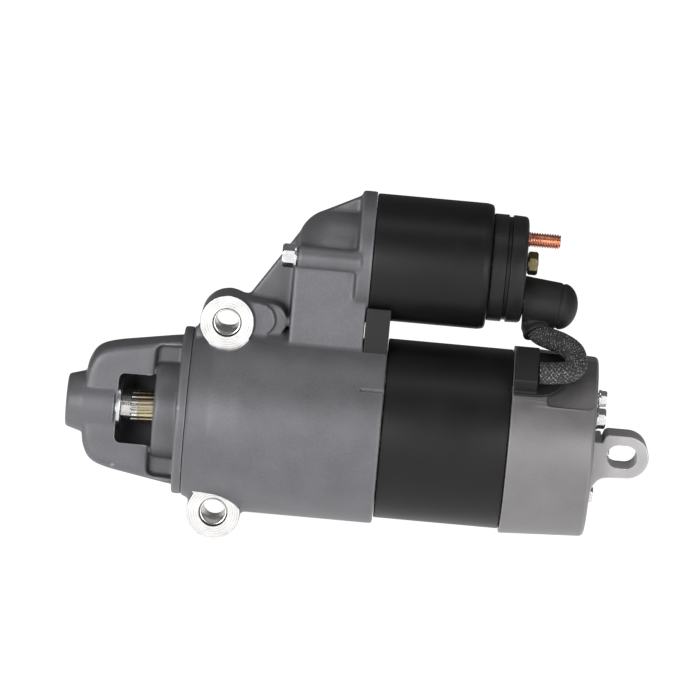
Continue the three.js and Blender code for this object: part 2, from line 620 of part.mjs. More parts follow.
function terminalBoot() {
  const z = SOLENOID_Z + STUD_OFFSET_Z[1];
  const [skirt, shoulder, tip] = BOOT_X;
  const outline = [[skirt, 0], [skirt, BOOT_R - 0.4], [skirt + 0.8, BOOT_R], [shoulder, BOOT_R]];
  for (let i = 1; i <= 6; i += 1) {
    const a = (i / 6) * (Math.PI / 2);
    outline.push([shoulder + (tip - shoulder) * Math.sin(a), BOOT_R * Math.cos(a)]);
  }
  const dome = solid(turned(outline, 24)).translate([-skirt, 0, 0]).rotate([0, BOOT_TILT, 0])
    .translate([skirt, 0, z]);
  const neck = solid(tubeAlong([[65.4, 0, 52], [65.8, -0.8, 46.4], [67, -2.6, 43.4]], 5.7, 14, 4));
  const cavity = solid(rodAt(skirt - 2, 71.2, 6.6, 0, z, 20));
  const faceClearance = solid(block([skirt - 5, skirt - 0.2], [-12, 12], [z - 12, z + 12]));
  const leadBore = solid(tubeAlong([[65.6, 0, 53], ...LEAD_ROUTE.slice(0, 6)], LEAD_R + GAP + 0.2, 10, 14));
  return geometryOf(cut(join(dome, neck), cavity, leadBore, faceClearance));
}

function arcPad(x0, x1, r0, r1, a0, a1) {
  const shape = new THREE.Shape();
  shape.absarc(0, 0, r1, a0, a1, false);
  shape.absarc(0, 0, r0, a1, a0, true);
  return solid(slab(shape, x0, x1, 6));
}

function leadGrommet() {
  const rad = Math.PI / 180;
  const padR = COVER_R[0] + GAP;
  const pad = arcPad(58.8, 79, padR, padR + 1.2, 106 * rad, 144 * rad);
  const socket = arcPad(58.8, 67.3, padR, padR + 9.5, 120 * rad, 142 * rad);
  return geometryOf(join(pad, socket));
}

function leverGrommet() {
  const body = solid(block([NECK_X[1] + GAP, YOKE_X[0] - GAP], [-19.7, 19.7], [29, 49]));
  const caseClearance = solid(rodAt(-5, 20, SOLENOID_FLANGE_R + GAP, 0, SOLENOID_Z, 40));
  return geometryOf(cut(body, caseClearance));
}

// ---- Assembly ----
node('nose_housing', noseHousing(), castPaint());
node('gear_housing', gearHousing(), castPaint());
node('yoke', tube(...YOKE_X, YOKE_BORE_R, YOKE_R), blackPaint());
node('rear_cover', rearCover(), bareAluminium());
node('rear_bracket', rearBracket(), bareAluminium());
const coverBack = COVER_X[1] + GAP;
node('bracket_screw', headedScrew(coverBack + 3.9, -1, 3.4, 8, 3.6, 2.2, [6, -4]), zincPlate());
node('cover_screw', headedScrew(coverBack, -1, 3.8, 7, 0.1, 2.2, [-14, 13.5]), zincPlate());
[1, -1].forEach((side, i) => {
  const place = [side * BOLT_YZ[0], side * BOLT_YZ[1]];
  node(`through_bolt_${i + 1}`, headedScrew(coverBack, -1, 3.2, 5.5, 95.4, BOLT_R, place), zincPlate());
});
[UPPER_BOSS, LOWER_BOSS].forEach(([x, z], i) => {
  const sleeve = cut(solid(crossBar(x, z, BOSS_BORE_R - GAP, MOUNT_FACE_Y + 1.5, BOSS_BACK_Y)),
    solid(crossBar(x, z, 4.6, MOUNT_FACE_Y - 5, BOSS_BACK_Y + 5)));
  node(`mount_sleeve_${i + 1}`, geometryOf(sleeve), machinedSteel());
});
node('nose_bush', tube(-110.5, -98.5, SHAFT_R + 0.1, bushPocketR - GAP, 24), bronze());
node('rear_bush', tube(COVER_X[1] - 9.6, COVER_X[1] - 2, 5.1, 7.4 - GAP, 24), bronze());
node('centre_plate', centrePlate(), machinedSteel());
node('ring_gear', ringGear(), nylon());
planetAngles().forEach((angle, i) => node(`planet_gear_${i + 1}`, planetGear(angle), darkSteel()));

node('output_shaft', outputShaft(), machinedSteel());
node('stop_collar', tube(-97, -92.2, SHAFT_R + GAP, 9.7, 24), zincPlate());
node('clutch_sleeve', clutchSleeve(), darkSteel());
node('clutch_drum', clutchDrum(), darkSteel());
node('pinion', pinion(), darkSteel());
node('shift_lever', shiftLever(), nylon());
node('lever_pivot_pin', crossBar(PIVOT[0], PIVOT[1], 3, -12.5, 12.5, 16), machinedSteel());
node('lever_grommet', leverGrommet(), rubber());

node('solenoid_case', solenoidCase(), blackPaint());
node('solenoid_bobbin', solenoidPiece([[4, 10.5], [4, 22], [coilX[0], 22], [coilX[0], 11.7],
  [coilX[1], 11.7], [coilX[1], 22], [38, 22], [38, 10.5], [4, 10.5]]), nylon());
node('solenoid_coil', solenoidPiece([[coilX[0] + GAP, 12], [coilX[0] + GAP, 21.4],
  [coilX[1] - GAP, 21.4], [coilX[1] - GAP, 12], [coilX[0] + GAP, 12]]), copper());
node('solenoid_core', solenoidPiece([[33, 2.6], [33, 9.6], [38.4, 9.6], [38.4, 22.2], [43, 22.2],
  [43, 2.6], [33, 2.6]]), darkSteel());
node('solenoid_plunger', plunger(), machinedSteel());
node('return_spring', springCoil(), darkSteel());
node('contact_rod', rodAt(32, 46.7, 2.2, 0, SOLENOID_Z, 16), nylon());
node('contact_disc', rodAt(47, 49, 10, 0, SOLENOID_Z, 24), copper());
node('solenoid_cap', solenoidCap(), blackPlastic());
node('battery_terminal', terminalStud(STUD_OFFSET_Z[0], 72.3), copper());
node('motor_terminal', terminalStud(STUD_OFFSET_Z[1], 70.5), copper());
const motorStudZ = SOLENOID_Z + STUD_OFFSET_Z[1];
node('lead_lug', geometryOf(cut(solid(rodAt(60.6, 62.4, 6.2, 0, motorStudZ, 24)),
  solid(rodAt(50, 70, STUD_R + GAP, 0, motorStudZ, 16)))), copper());
node('motor_terminal_nut', hexNut(62.7, 67.6, 10, STUD_R + GAP, 0, motorStudZ), zincPlate());
node('switch_terminal', rodAt(56.4, 64.3, 1.5, ...SWITCH_YZ, 12), brass());
node('switch_terminal_nut', hexNut(60.1, 64.1, 8, 1.5 + GAP, ...SWITCH_YZ), brass());
SCREW_YZ.forEach((place, i) => {
  const seat = SCREW_SEAT_X[i] - GAP;
  const screw = headedScrew(seat, 1, 5.6, 8, SCREW_END_X - seat, 2.2, place);
  node(`solenoid_screw_${i + 1}`, screw, zincPlate());
});
node('terminal_boot', terminalBoot(), rubber());
node('motor_lead', tubeAlong(LEAD_ROUTE, LEAD_R, 8, 24), braid());
node('lead_grommet', leadGrommet(), rubber());

node('armature_shaft', armatureShaft(), machinedSteel());
node('armature_core', armatureCore(), darkSteel());
node('armature_winding', tube(CORE_X[1] + GAP, 57.6, 9, 22, 24), copper());
node('commutator', commutator(), copper());
node('brush_holder', brushHolder(), nylon());
for (let i = 0; i < MAGNETS; i += 1) {
  node(`magnet_${i + 1}`, magnet(i), ferrite());
}
for (let i = 0; i < BRUSHES; i += 1) {
  node(`brush_${i + 1}`, brush(i), carbon());
}

export default new THREE.Group().add(model);
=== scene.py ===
import json
import math

import bmesh
import bpy
import numpy as np
from mathutils import Matrix, Vector


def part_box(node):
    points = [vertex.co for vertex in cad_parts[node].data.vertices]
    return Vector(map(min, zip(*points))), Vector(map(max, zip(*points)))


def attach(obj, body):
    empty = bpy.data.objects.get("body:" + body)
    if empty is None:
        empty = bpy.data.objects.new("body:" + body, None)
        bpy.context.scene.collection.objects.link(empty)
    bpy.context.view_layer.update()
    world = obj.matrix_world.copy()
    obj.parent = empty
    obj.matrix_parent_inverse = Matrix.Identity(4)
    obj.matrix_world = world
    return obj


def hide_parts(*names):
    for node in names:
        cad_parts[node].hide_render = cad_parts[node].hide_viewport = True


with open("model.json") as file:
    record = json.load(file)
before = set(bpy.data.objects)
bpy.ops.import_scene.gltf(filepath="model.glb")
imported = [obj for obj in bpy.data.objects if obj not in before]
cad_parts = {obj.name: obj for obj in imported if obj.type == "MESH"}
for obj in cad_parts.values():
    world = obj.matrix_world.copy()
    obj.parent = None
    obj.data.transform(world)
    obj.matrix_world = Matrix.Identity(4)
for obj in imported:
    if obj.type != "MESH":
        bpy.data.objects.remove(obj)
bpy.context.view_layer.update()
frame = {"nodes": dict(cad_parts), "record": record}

# Lengths below are in millimetres, and points go into Blender through MM. Turned outlines are
# (x, r) or (x, r, fillet) points about the motor axis, unless a centre is given.
MM = 0.001
TAU = math.tau


def cad_range(node, axis):
    low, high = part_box(node)
    return low[axis] / MM, high[axis] / MM


def cad_centre(node):
    low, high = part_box(node)
    return (low + high) / (2 * MM)


MOTOR_Z = cad_centre("yoke").z
SOLENOID_Z = cad_centre("solenoid_case").z
MOTOR = (0.0, MOTOR_Z)
SOLENOID = (0.0, SOLENOID_Z)


# ---------------------------------------------------------------- mesh helpers
def make_object(name, verts, faces):
    mesh = bpy.data.meshes.new(name)
    mesh.from_pydata([tuple(v) for v in verts], [], faces)
    piece = bpy.data.objects.new(name, mesh)
    bpy.context.scene.collection.objects.link(piece)
    outward(piece)
    return piece


def outward(piece):
    bm = bmesh.new()
    bm.from_mesh(piece.data)
    bmesh.ops.remove_doubles(bm, verts=bm.verts, dist=1e-7)
    bmesh.ops.recalc_face_normals(bm, faces=bm.faces)
    bm.to_mesh(piece.data)
    bm.free()


def fillet_outline(outline, steps=4):
    """Each (x, r, fillet) corner becomes an arc, and (x, r) corners stay sharp."""
    points = []
    count = len(outline)
    for i, corner in enumerate(outline):
        here = Vector(corner[:2])
        radius = corner[2] if len(corner) > 2 else 0
        before = Vector(outline[i - 1][:2]) - here
        after = Vector(outline[(i + 1) % count][:2]) - here
        if not radius or before.length < 1e-6 or after.length < 1e-6:
            points.append(here)
            continue
        half = before.angle(after) / 2
        back = min(radius / math.tan(half), 0.49 * before.length, 0.49 * after.length)
        radius = back * math.tan(half)
        middle = here + (before.normalized() + after.normalized()).normalized() * (radius / math.sin(half))
        start = here + before.normalized() * back - middle
        end = here + after.normalized() * back - middle
        for k in range(steps + 1):
            points.append(middle + start.slerp(end, k / steps).normalized() * radius)
    return points


def revolve(name, outline, centre=MOTOR, segments=144, steps=4):
    """Turns a closed (x, r) outline about the X axis through centre, a (y, z) pair."""
    points = fillet_outline(outline, steps)
    count = len(points)
    verts = []
    for k in range(segments):
        turn = TAU * k / segments
        for x, r in points:
            verts.append(Vector((x, centre[0] + r * math.cos(turn), centre[1] + r * math.sin(turn))) * MM)
    faces = []
    for k in range(segments):
        a, b = k * count, ((k + 1) % segments) * count
        for i in range(count):
            j = (i + 1) % count
            if points[i][1] < 1e-6 and points[j][1] < 1e-6:
                continue
            faces.append((a + i, a + j, b + j, b + i))
    piece = make_object(name, verts, faces)
    bm = bmesh.new()
    bm.from_mesh(piece.data)
    bmesh.ops.dissolve_degenerate(bm, dist=1e-8, edges=bm.edges)
    bm.to_mesh(piece.data)
    bm.free()
    return piece


def bar_outline(x0, x1, r, edge=0.4):
    return [(x0, 0), (x0, r, edge), (x1, r, edge), (x1, 0)]


def tube_faces(rings, segments):
    """Faces of a tube of point rings, one after another, with both ends closed."""
    faces = []
    for i in range(rings - 1):
        a, b = i * segments, (i + 1) * segments
        for k in range(segments):
            n = (k + 1) % segments
            faces.append((a + k, a + n, b + n, b + k))
    last = (rings - 1) * segments
    return faces + [tuple(range(segments)), tuple(range(last, last + segments))]


def lathe_field(name, stations, radius, centre, segments):
    """A closed bar about X whose radius is radius(x, turn), so it may carry flats, teeth or threads."""
    verts = []
    for x in stations:
        for k in range(segments):
            turn = TAU * k / segments
            r = radius(x, turn)
            verts.append(Vector((x, centre[0] + r * math.cos(turn), centre[1] + r * math.sin(turn))) * MM)
    return make_object(name, verts, tube_faces(len(stations), segments))


def prism(name, outline, low, high, axis="y"):
    """A flat outline given thickness: (x, z) points along y, or (y, z) points along x."""
    def at(a, b, depth):
        return Vector((a, depth, b)) * MM if axis == "y" else Vector((depth, a, b)) * MM

    count = len(outline)
    verts = [at(a, b, low) for a, b in outline] + [at(a, b, high) for a, b in outline]
    faces = [tuple(range(count)), tuple(range(count, 2 * count))]
    faces += [(i, (i + 1) % count, count + (i + 1) % count, count + i) for i in range(count)]
    return make_object(name, verts, faces)


def block(name, xs, ys, zs):
    (x0, x1), (y0, y1), (z0, z1) = xs, ys, zs
    return prism(name, [(x0, z0), (x1, z0), (x1, z1), (x0, z1)], y0, y1)


def cross_bar(name, x, z, r, y0, y1, segments=96):
    ring = [(x + r * math.cos(TAU * k / segments), z + r * math.sin(TAU * k / segments))
            for k in range(segments)]
    return prism(name, ring, y0, y1)


def arc(x, z, r, start, end, steps):
    return [(x + r * math.cos(start + (end - start) * i / steps),
             z + r * math.sin(start + (end - start) * i / steps)) for i in range(steps + 1)]


def catmull(points, per_span):
    """A smooth path through points, as one array row per step."""
    p = np.array(points, float)
    p = np.vstack([2 * p[0] - p[1], p, 2 * p[-1] - p[-2]])
    out = []
    for i in range(1, len(p) - 2):
        for k in range(per_span):
            t = k / per_span
            out.append(0.5 * (2 * p[i] + (p[i + 1] - p[i - 1]) * t
                              + (2 * p[i - 1] - 5 * p[i] + 4 * p[i + 1] - p[i + 2]) * t ** 2
                              + (3 * p[i] - p[i - 1] - 3 * p[i + 1] + p[i + 2]) * t ** 3))
    out.append(p[-2])
    return np.array(out)


def path_frames(path):
    """Side and up at each point, carried along without twist."""
    tangents = np.gradient(path, axis=0)
    tangents /= np.linalg.norm(tangents, axis=1)[:, None]
    side = np.cross(tangents[0], (0.0, 0.0, 1.0))
    if np.linalg.norm(side) < 0.1:
        side = np.cross(tangents[0], (0.0, 1.0, 0.0))
    sides = []
    for t in tangents:
        side = side - t * np.dot(side, t)
        side /= np.linalg.norm(side)
        sides.append(side.copy())
    sides = np.array(sides)
    return sides, np.cross(tangents, sides)


def sweep(name, path, radius, segments):
    """A closed tube along path. radius(i, k) is the radius at station i and turn step k."""
    sides, ups = path_frames(path)
    verts = []
    for i, centre in enumerate(path):
        for k in range(segments):
            turn = TAU * k / segments
            r = radius(i, k)
            verts.append(Vector(centre + (sides[i] * math.cos(turn) + ups[i] * math.sin(turn)) * r) * MM)
    return make_object(name, verts, tube_faces(len(path), segments))


def apply_modifiers(piece):
    graph = bpy.context.evaluated_depsgraph_get()
    baked = bpy.data.meshes.new_from_object(piece.evaluated_get(graph))
    piece.modifiers.clear()
    old = piece.data
    piece.data = baked
    bpy.data.meshes.remove(old)
    return piece


def join(name, pieces):
    """Closed pieces gathered in one mesh, each shell as it was."""
    bm = bmesh.new()
    for piece in pieces:
        bm.from_mesh(piece.data)
        mesh = piece.data
        bpy.data.objects.remove(piece)
        bpy.data.meshes.remove(mesh)
    mesh = bpy.data.meshes.new(name)
    bm.to_mesh(mesh)
    bm.free()
    piece = bpy.data.objects.new(name, mesh)
    bpy.context.scene.collection.objects.link(piece)
    return piece


def fuse(name, pieces, voxel, rounds):
    """Joins overlapping pieces into one skin, and softens the corners as a casting's are."""
    piece = join(name, pieces)
    remesh = piece.modifiers.new("skin", "REMESH")
    remesh.mode = "VOXEL"
    remesh.voxel_size = voxel * MM
    soften = piece.modifiers.new("soften", "SMOOTH")
    soften.factor = 0.5
    soften.iterations = rounds
    return apply_modifiers(piece)


def cut(piece, cutters, solver="EXACT"):
    """Takes each cutter out of piece, one after the other. The pieces given are closed shells."""
    for cutter in cutters:
        modifier = piece.modifiers.new("cut", "BOOLEAN")
        modifier.operation = "DIFFERENCE"
        modifier.solver = solver
        modifier.object = cutter
        apply_modifiers(piece)
        mesh = cutter.data
        bpy.data.objects.remove(cutter)
        bpy.data.meshes.remove(mesh)
    return piece


def bevel(piece, width, segments=2, angle=35):
    modifier = piece.modifiers.new("edges", "BEVEL")
    modifier.width = width * MM
    modifier.segments = segments
    modifier.limit_method = "ANGLE"
    modifier.angle_limit = math.radians(angle)
    return apply_modifiers(piece)


def shade(piece, sharp_angle=32):
    """Smooth shading, with real corners left crisp."""
    bm = bmesh.new()
    bm.from_mesh(piece.data)
    limit = math.radians(sharp_angle)
    for face in bm.faces:
        face.smooth = True
    for edge in bm.edges:
        edge.smooth = len(edge.link_faces) != 2 or edge.calc_face_angle(0) < limit
    bm.to_mesh(piece.data)
    bm.free()


# ---------------------------------------------------------------- materials
def principled(name, color, roughness, metallic=0.0):
    material = bpy.data.materials.new(name)
    material.use_nodes = True
    tree = material.node_tree
    shader = tree.nodes["Principled BSDF"]
    shader.inputs["Base Color"].default_value = (*color, 1)
    shader.inputs["Roughness"].default_value = roughness
    shader.inputs["Metallic"].default_value = metallic
    return material, tree, shader


def coordinates(tree, stretch=(1, 1, 1)):
    """Object coordinates in metres, stretched for grain that runs one way."""
    source = tree.nodes.new("ShaderNodeTexCoord")
    mapping = tree.nodes.new("ShaderNodeMapping")
    mapping.inputs["Scale"].default_value = stretch
    tree.links.new(source.outputs["Object"], mapping.inputs["Vector"])
    return mapping.outputs["Vector"]


def noise(tree, vector, size_mm, detail=3.0, rough=0.55):
    node = tree.nodes.new("ShaderNodeTexNoise")
    node.inputs["Scale"].default_value = 1 / (size_mm * MM)
    node.inputs["Detail"].default_value = detail
    node.inputs["Roughness"].default_value = rough
    tree.links.new(vector, node.inputs["Vector"])
    return node.outputs["Fac"]


def ramp(tree, value, stops):
    node = tree.nodes.new("ShaderNodeValToRGB")
    node.color_ramp.elements[0].position = stops[0][0]
    node.color_ramp.elements[0].color = (*stops[0][1], 1)
    node.color_ramp.elements[1].position = stops[-1][0]
    node.color_ramp.elements[1].color = (*stops[-1][1], 1)
    for position, color in stops[1:-1]:
        node.color_ramp.elements.new(position).color = (*color, 1)
    tree.links.new(value, node.inputs["Fac"])
    return node.outputs["Color"]


def remap(tree, value, low, high, from_low=0.0, from_high=1.0):
    node = tree.nodes.new("ShaderNodeMapRange")
    node.inputs["From Min"].default_value = from_low
    node.inputs["From Max"].default_value = from_high
    node.inputs["To Min"].default_value = low
    node.inputs["To Max"].default_value = high
    tree.links.new(value, node.inputs["Value"])
    return node.outputs["Result"]


def mix(tree, factor, a, b, kind="MIX"):
    node = tree.nodes.new("ShaderNodeMix")
    node.data_type = "RGBA"
    node.blend_type = kind
    if isinstance(factor, float):
        node.inputs[0].default_value = factor
    else:
        tree.links.new(factor, node.inputs[0])
    for socket, value in ((node.inputs[6], a), (node.inputs[7], b)):
        if isinstance(value, tuple):
            socket.default_value = (*value, 1)
        else:
            tree.links.new(value, socket)
    return node.outputs[2]


def math_node(tree, kind, a, b):
    node = tree.nodes.new("ShaderNodeMath")
    node.operation = kind
    for socket, value in ((node.inputs[0], a), (node.inputs[1], b)):
        if isinstance(value, (int, float)):
            socket.default_value = value
        else:
            tree.links.new(value, socket)
    return node.outputs[0]


def bump(tree, shader, height, depth_mm, strength=1.0):
    node = tree.nodes.new("ShaderNodeBump")
    node.inputs["Strength"].default_value = strength
    node.inputs["Distance"].default_value = depth_mm * MM
    tree.links.new(height, node.inputs["Height"])
    if shader.inputs["Normal"].is_linked:
        tree.links.new(shader.inputs["Normal"].links[0].from_socket, node.inputs["Normal"])
    tree.links.new(node.outputs["Normal"], shader.inputs["Normal"])


def painted_edge_highlight(tree, low, high):
    """Mask of the painted edge highlight: 0 on open faces, rising to 1 on outer edges."""
    geometry = tree.nodes.new("ShaderNodeNewGeometry")
    return remap(tree, geometry.outputs["Pointiness"], 0, 1, low, high)


def grained(name, dark, light, rough, metallic, grain_mm, bump_mm, patch_mm=9.0,
            stretch=(1, 1, 1), edge=None, bump_strength=0.6, specular=0.5):
    """A surface whose tone, gloss and height vary over two grain sizes, with a painted highlight on its
    edges.
    """
    material, tree, shader = principled(name, light, rough[0], metallic)
    shader.inputs["Specular IOR Level"].default_value = specular
    vector = coordinates(tree, stretch)
    fine = noise(tree, vector, grain_mm, 4.0, 0.6)
    patches = noise(tree, coordinates(tree), patch_mm, 2.0)
    tone = ramp(tree, math_node(tree, "ADD", math_node(tree, "MULTIPLY", fine, 0.6),
                                math_node(tree, "MULTIPLY", patches, 0.4)),
                [(0.32, dark), (0.68, light)])
    # Painted highlight: outer edges are mixed towards the lighter edge colour.
    if edge:
        tone = mix(tree, painted_edge_highlight(tree, 0.51, 0.56), tone, edge)
    tree.links.new(tone, shader.inputs["Base Color"])
    gloss = math_node(tree, "ADD", math_node(tree, "MULTIPLY", fine, 0.5),
                      math_node(tree, "MULTIPLY", patches, 0.5))
    tree.links.new(remap(tree, gloss, rough[0], rough[1], 0.3, 0.7), shader.inputs["Roughness"])
    bump(tree, shader, fine, bump_mm, bump_strength)
    return material


def turned_metal(name, dark, light, rough=(0.16, 0.34), stretch=(14, 1, 1), grain=0.8):
    """Bright metal with tool marks across the stretch direction."""
    return grained(name, dark, light, rough, 1.0, grain, 0.012, 7.0, stretch, bump_strength=0.5)


def machined_face(name, place):
    """A milled pad with turned rings about its hole, at place, an (x, z) pair."""
    material = grained(name, (0.6, 0.59, 0.58), (0.84, 0.83, 0.82), (0.22, 0.4), 0.9, 0.5, 0.012, 5.0)
    tree = material.node_tree
    shader = tree.nodes["Principled BSDF"]
    source = tree.nodes.new("ShaderNodeTexCoord")
    mapping = tree.nodes.new("ShaderNodeMapping")
    mapping.inputs["Location"].default_value = (-place[0] * MM, 0, -place[1] * MM)
    tree.links.new(source.outputs["Object"], mapping.inputs["Vector"])
    rings = tree.nodes.new("ShaderNodeTexWave")
    rings.wave_type = "RINGS"
    rings.rings_direction = "Y"
    rings.inputs["Scale"].default_value = 330
    rings.inputs["Distortion"].default_value = 1.2
    rings.inputs["Detail"].default_value = 3
    tree.links.new(mapping.outputs["Vector"], rings.inputs["Vector"])
    base = shader.inputs["Base Color"].links[0].from_socket
    shaded = ramp(tree, rings.outputs["Fac"], [(0.1, (0.8, 0.8, 0.8)), (0.75, (1, 1, 1))])
    tree.links.new(mix(tree, 1.0, base, shaded, "MULTIPLY"), shader.inputs["Base Color"])
    bump(tree, shader, rings.outputs["Fac"], 0.02, 0.6)
    return material


# The edge colours below are painted highlights on the outer edges.
MATERIALS = {
    "pale_metal": grained("pale_metal", (0.3, 0.29, 0.29), (0.44, 0.43, 0.43), (0.34, 0.5), 0.4,
                          0.5, 0.03, 8.0, edge=(0.6, 0.6, 0.6)),
    "cast_paint": grained("cast_paint", (0.1, 0.1, 0.108), (0.152, 0.152, 0.163), (0.4, 0.54), 0.4,
                          0.55, 0.06, 12.0, edge=(0.24, 0.24, 0.25)),
    "bare_aluminium": grained("cast_aluminium", (0.1, 0.096, 0.1), (0.16, 0.153, 0.159), (0.38, 0.52),
                              0.5, 0.5, 0.045, 10.0, edge=(0.4, 0.39, 0.39)),
    "black_paint": grained("black_paint", (0.0035, 0.0035, 0.0038), (0.008, 0.008, 0.0085), (0.34, 0.46),
                           0.0, 0.35, 0.02, 14.0, edge=(0.02, 0.02, 0.021), specular=0.22),
    "black_plastic": grained("black_plastic", (0.004, 0.0042, 0.004), (0.009, 0.0092, 0.009), (0.32, 0.46),
                             0.0, 0.25, 0.02, 6.0, edge=(0.04, 0.04, 0.042), specular=0.22),
    "rubber": grained("soft_rubber", (0.005, 0.005, 0.0052), (0.012, 0.012, 0.0125), (0.5, 0.66),
                      0.0, 0.4, 0.035, 5.0, edge=(0.03, 0.03, 0.031), specular=0.35),
    "oiled_steel": turned_metal("oiled_steel", (0.3, 0.25, 0.15), (0.5, 0.45, 0.33), (0.2, 0.4)),
    "machined_steel": turned_metal("machined_steel", (0.42, 0.41, 0.39), (0.66, 0.65, 0.63)),
    "dark_steel": turned_metal("dark_steel", (0.09, 0.09, 0.095), (0.17, 0.17, 0.18), (0.3, 0.48)),
    "zinc": turned_metal("zinc", (0.5, 0.51, 0.52), (0.74, 0.75, 0.76), (0.18, 0.36), (3, 1, 1)),
    "bronze": turned_metal("bronze", (0.26, 0.14, 0.055), (0.42, 0.25, 0.1), (0.3, 0.45)),
    "copper": turned_metal("copper", (0.7, 0.36, 0.25), (0.88, 0.52, 0.4), (0.24, 0.36), (1, 1, 1), 2.0),
    "brass": turned_metal("brass", (0.1, 0.085, 0.045), (0.2, 0.17, 0.095), (0.36, 0.52), (3, 1, 1)),
    "carbon": grained("carbon", (0.02, 0.018, 0.017), (0.06, 0.045, 0.038), (0.5, 0.7), 0.2, 0.3, 0.03),
    "ferrite": grained("ferrite", (0.025, 0.025, 0.028), (0.055, 0.055, 0.06), (0.5, 0.7), 0.1, 0.4, 0.04),
    "nylon": grained("nylon", (0.42, 0.36, 0.25), (0.58, 0.52, 0.4), (0.4, 0.55), 0.0, 0.5, 0.03),
}


def finish(piece, body, nodes, material, sharp_angle=32):
    """Material, shading, body and replaced CAD nodes of a finished piece."""
    piece.data.materials.clear()
    piece.data.materials.append(MATERIALS[material])
    shade(piece, sharp_angle)
    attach(piece, body)
    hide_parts(*nodes)
    return piece


def paint_where(piece, material, chosen):
    """Gives material to the faces whose centre and normal pass chosen."""
    piece.data.materials.append(MATERIALS[material])
    index = len(piece.data.materials) - 1
    for polygon in piece.data.polygons:
        if chosen(polygon.center / MM, polygon.normal):
            polygon.material_index = index
            polygon.use_smooth = True


# ---------------------------------------------------------------- castings
NOSE_X = cad_range("nose_housing", 0)
HOUSING_X = cad_range("gear_housing", 0)
YOKE_X = cad_range("yoke", 0)
COVER_X = cad_range("rear_cover", 0)
FLANGE_X0 = NOSE_X[1] - 3.6
MOUNT_Y = cad_range("rear_bracket", 1)[0]
UPPER_BOSS = (cad_centre("mount_sleeve_1").x, cad_centre("mount_sleeve_1").z)
LOWER_BOSS = (cad_centre("mount_sleeve_2").x, cad_centre("mount_sleeve_2").z)
BOSS_R = 10.5
BOSS_BORE_R = 5.65
SLEEVE_BORE_R = 4.6
SCREW_HEAD = 5.6
WINDOW_X = (-93.9, -79.4)
NOSE_BORE_R = 17
TIP_R = 12
ENGINE_FLAT_Y = -10
BARREL_R = 37.55
TUBE_R = 35.1
TUBE_BORE_R = 32.9
CAN_R = 24.6
CAP_R = 20.9
PLUNGER_BORE_R = 10.4
EAR_R = 8.2
EAR_DEPTH = 20
SLOT = (12, 9)
FAR = 60  # past every face of the motor, for cutters that run right through


def nose():
    tip = NOSE_X[0]
    bell = revolve("bell", [
        (tip + 1, 0), (tip + 1, 9), (-107.2, 10), (-106.4, 16.6, 2), (-104.2, 21.3, 3), (-101.8, 23.3, 4),
        (-99.3, 24.3, 5), (-94.6, 25.5, 8), (-71.2, 29.4), (-69, 29.6), (-69, 0)])
    flat = block("flat", (tip - 5, -FAR), (-FAR, ENGINE_FLAT_Y), (-60, 160))
    cut(bell, [flat])
    rounded = fuse("bell_skin", [bell], 0.6, 30)
    pocket = block("pocket", (WINDOW_X[1] - 0.8, FLANGE_X0 + 10), (-40, -4),
                   (MOTOR_Z - 25.8, MOTOR_Z + 25.8))
    cut(rounded, [fuse("pocket_soft", [pocket], 0.8, 40)])
    rounded = fuse("bell_pocket", [rounded], 0.6, 26)
    drum = revolve("drum", [(WINDOW_X[1], 0), (WINDOW_X[1], 19.3, 1.4), (FLANGE_X0 + 1, 19.6),
                            (FLANGE_X0 + 1, 0)])
    web = prism("web", [(WINDOW_X[1] - 2, MOTOR_Z - 26.4), (FLANGE_X0 + 1, MOTOR_Z - 28.6),
                        (FLANGE_X0 + 1, MOTOR_Z + 28.6), (WINDOW_X[1] - 2, MOTOR_Z + 26.4)], -5, 2)
    flange = revolve("flange", bar_outline(FLANGE_X0, NOSE_X[1] + 0.6, 32.8, 0.8))
    tube = revolve("tip", [(tip, 0), (tip, 10.2, 1.2), (tip + 6.2, TIP_R, 1), (WINDOW_X[0] - 1, TIP_R + 0.2),
                           (WINDOW_X[0] - 1, 0)])
    piece = fuse("nose", [rounded, drum, web, flange, tube], 0.5, 6)
    bay = revolve("bay", [
        (tip + 2.75, 0), (tip + 2.75, 9), (-97.5, 9), (-97.5, 10.3), (WINDOW_X[0], 10.3),
        (WINDOW_X[0], NOSE_BORE_R, 2.2), (-68.6, NOSE_BORE_R), (-68.6, 23), (-60, 23), (-60, 0)])
    rear = block("rear", (NOSE_X[1], NOSE_X[1] + 6), (-FAR, FAR), (-10, 100))
    cut(piece, [bay, rear])
    finish(piece, "housing", ["nose_housing"], "cast_paint", 40)


def boss(name, place):
    return cross_bar(name, place[0], place[1], BOSS_R, MOUNT_Y - 0.5, 6)


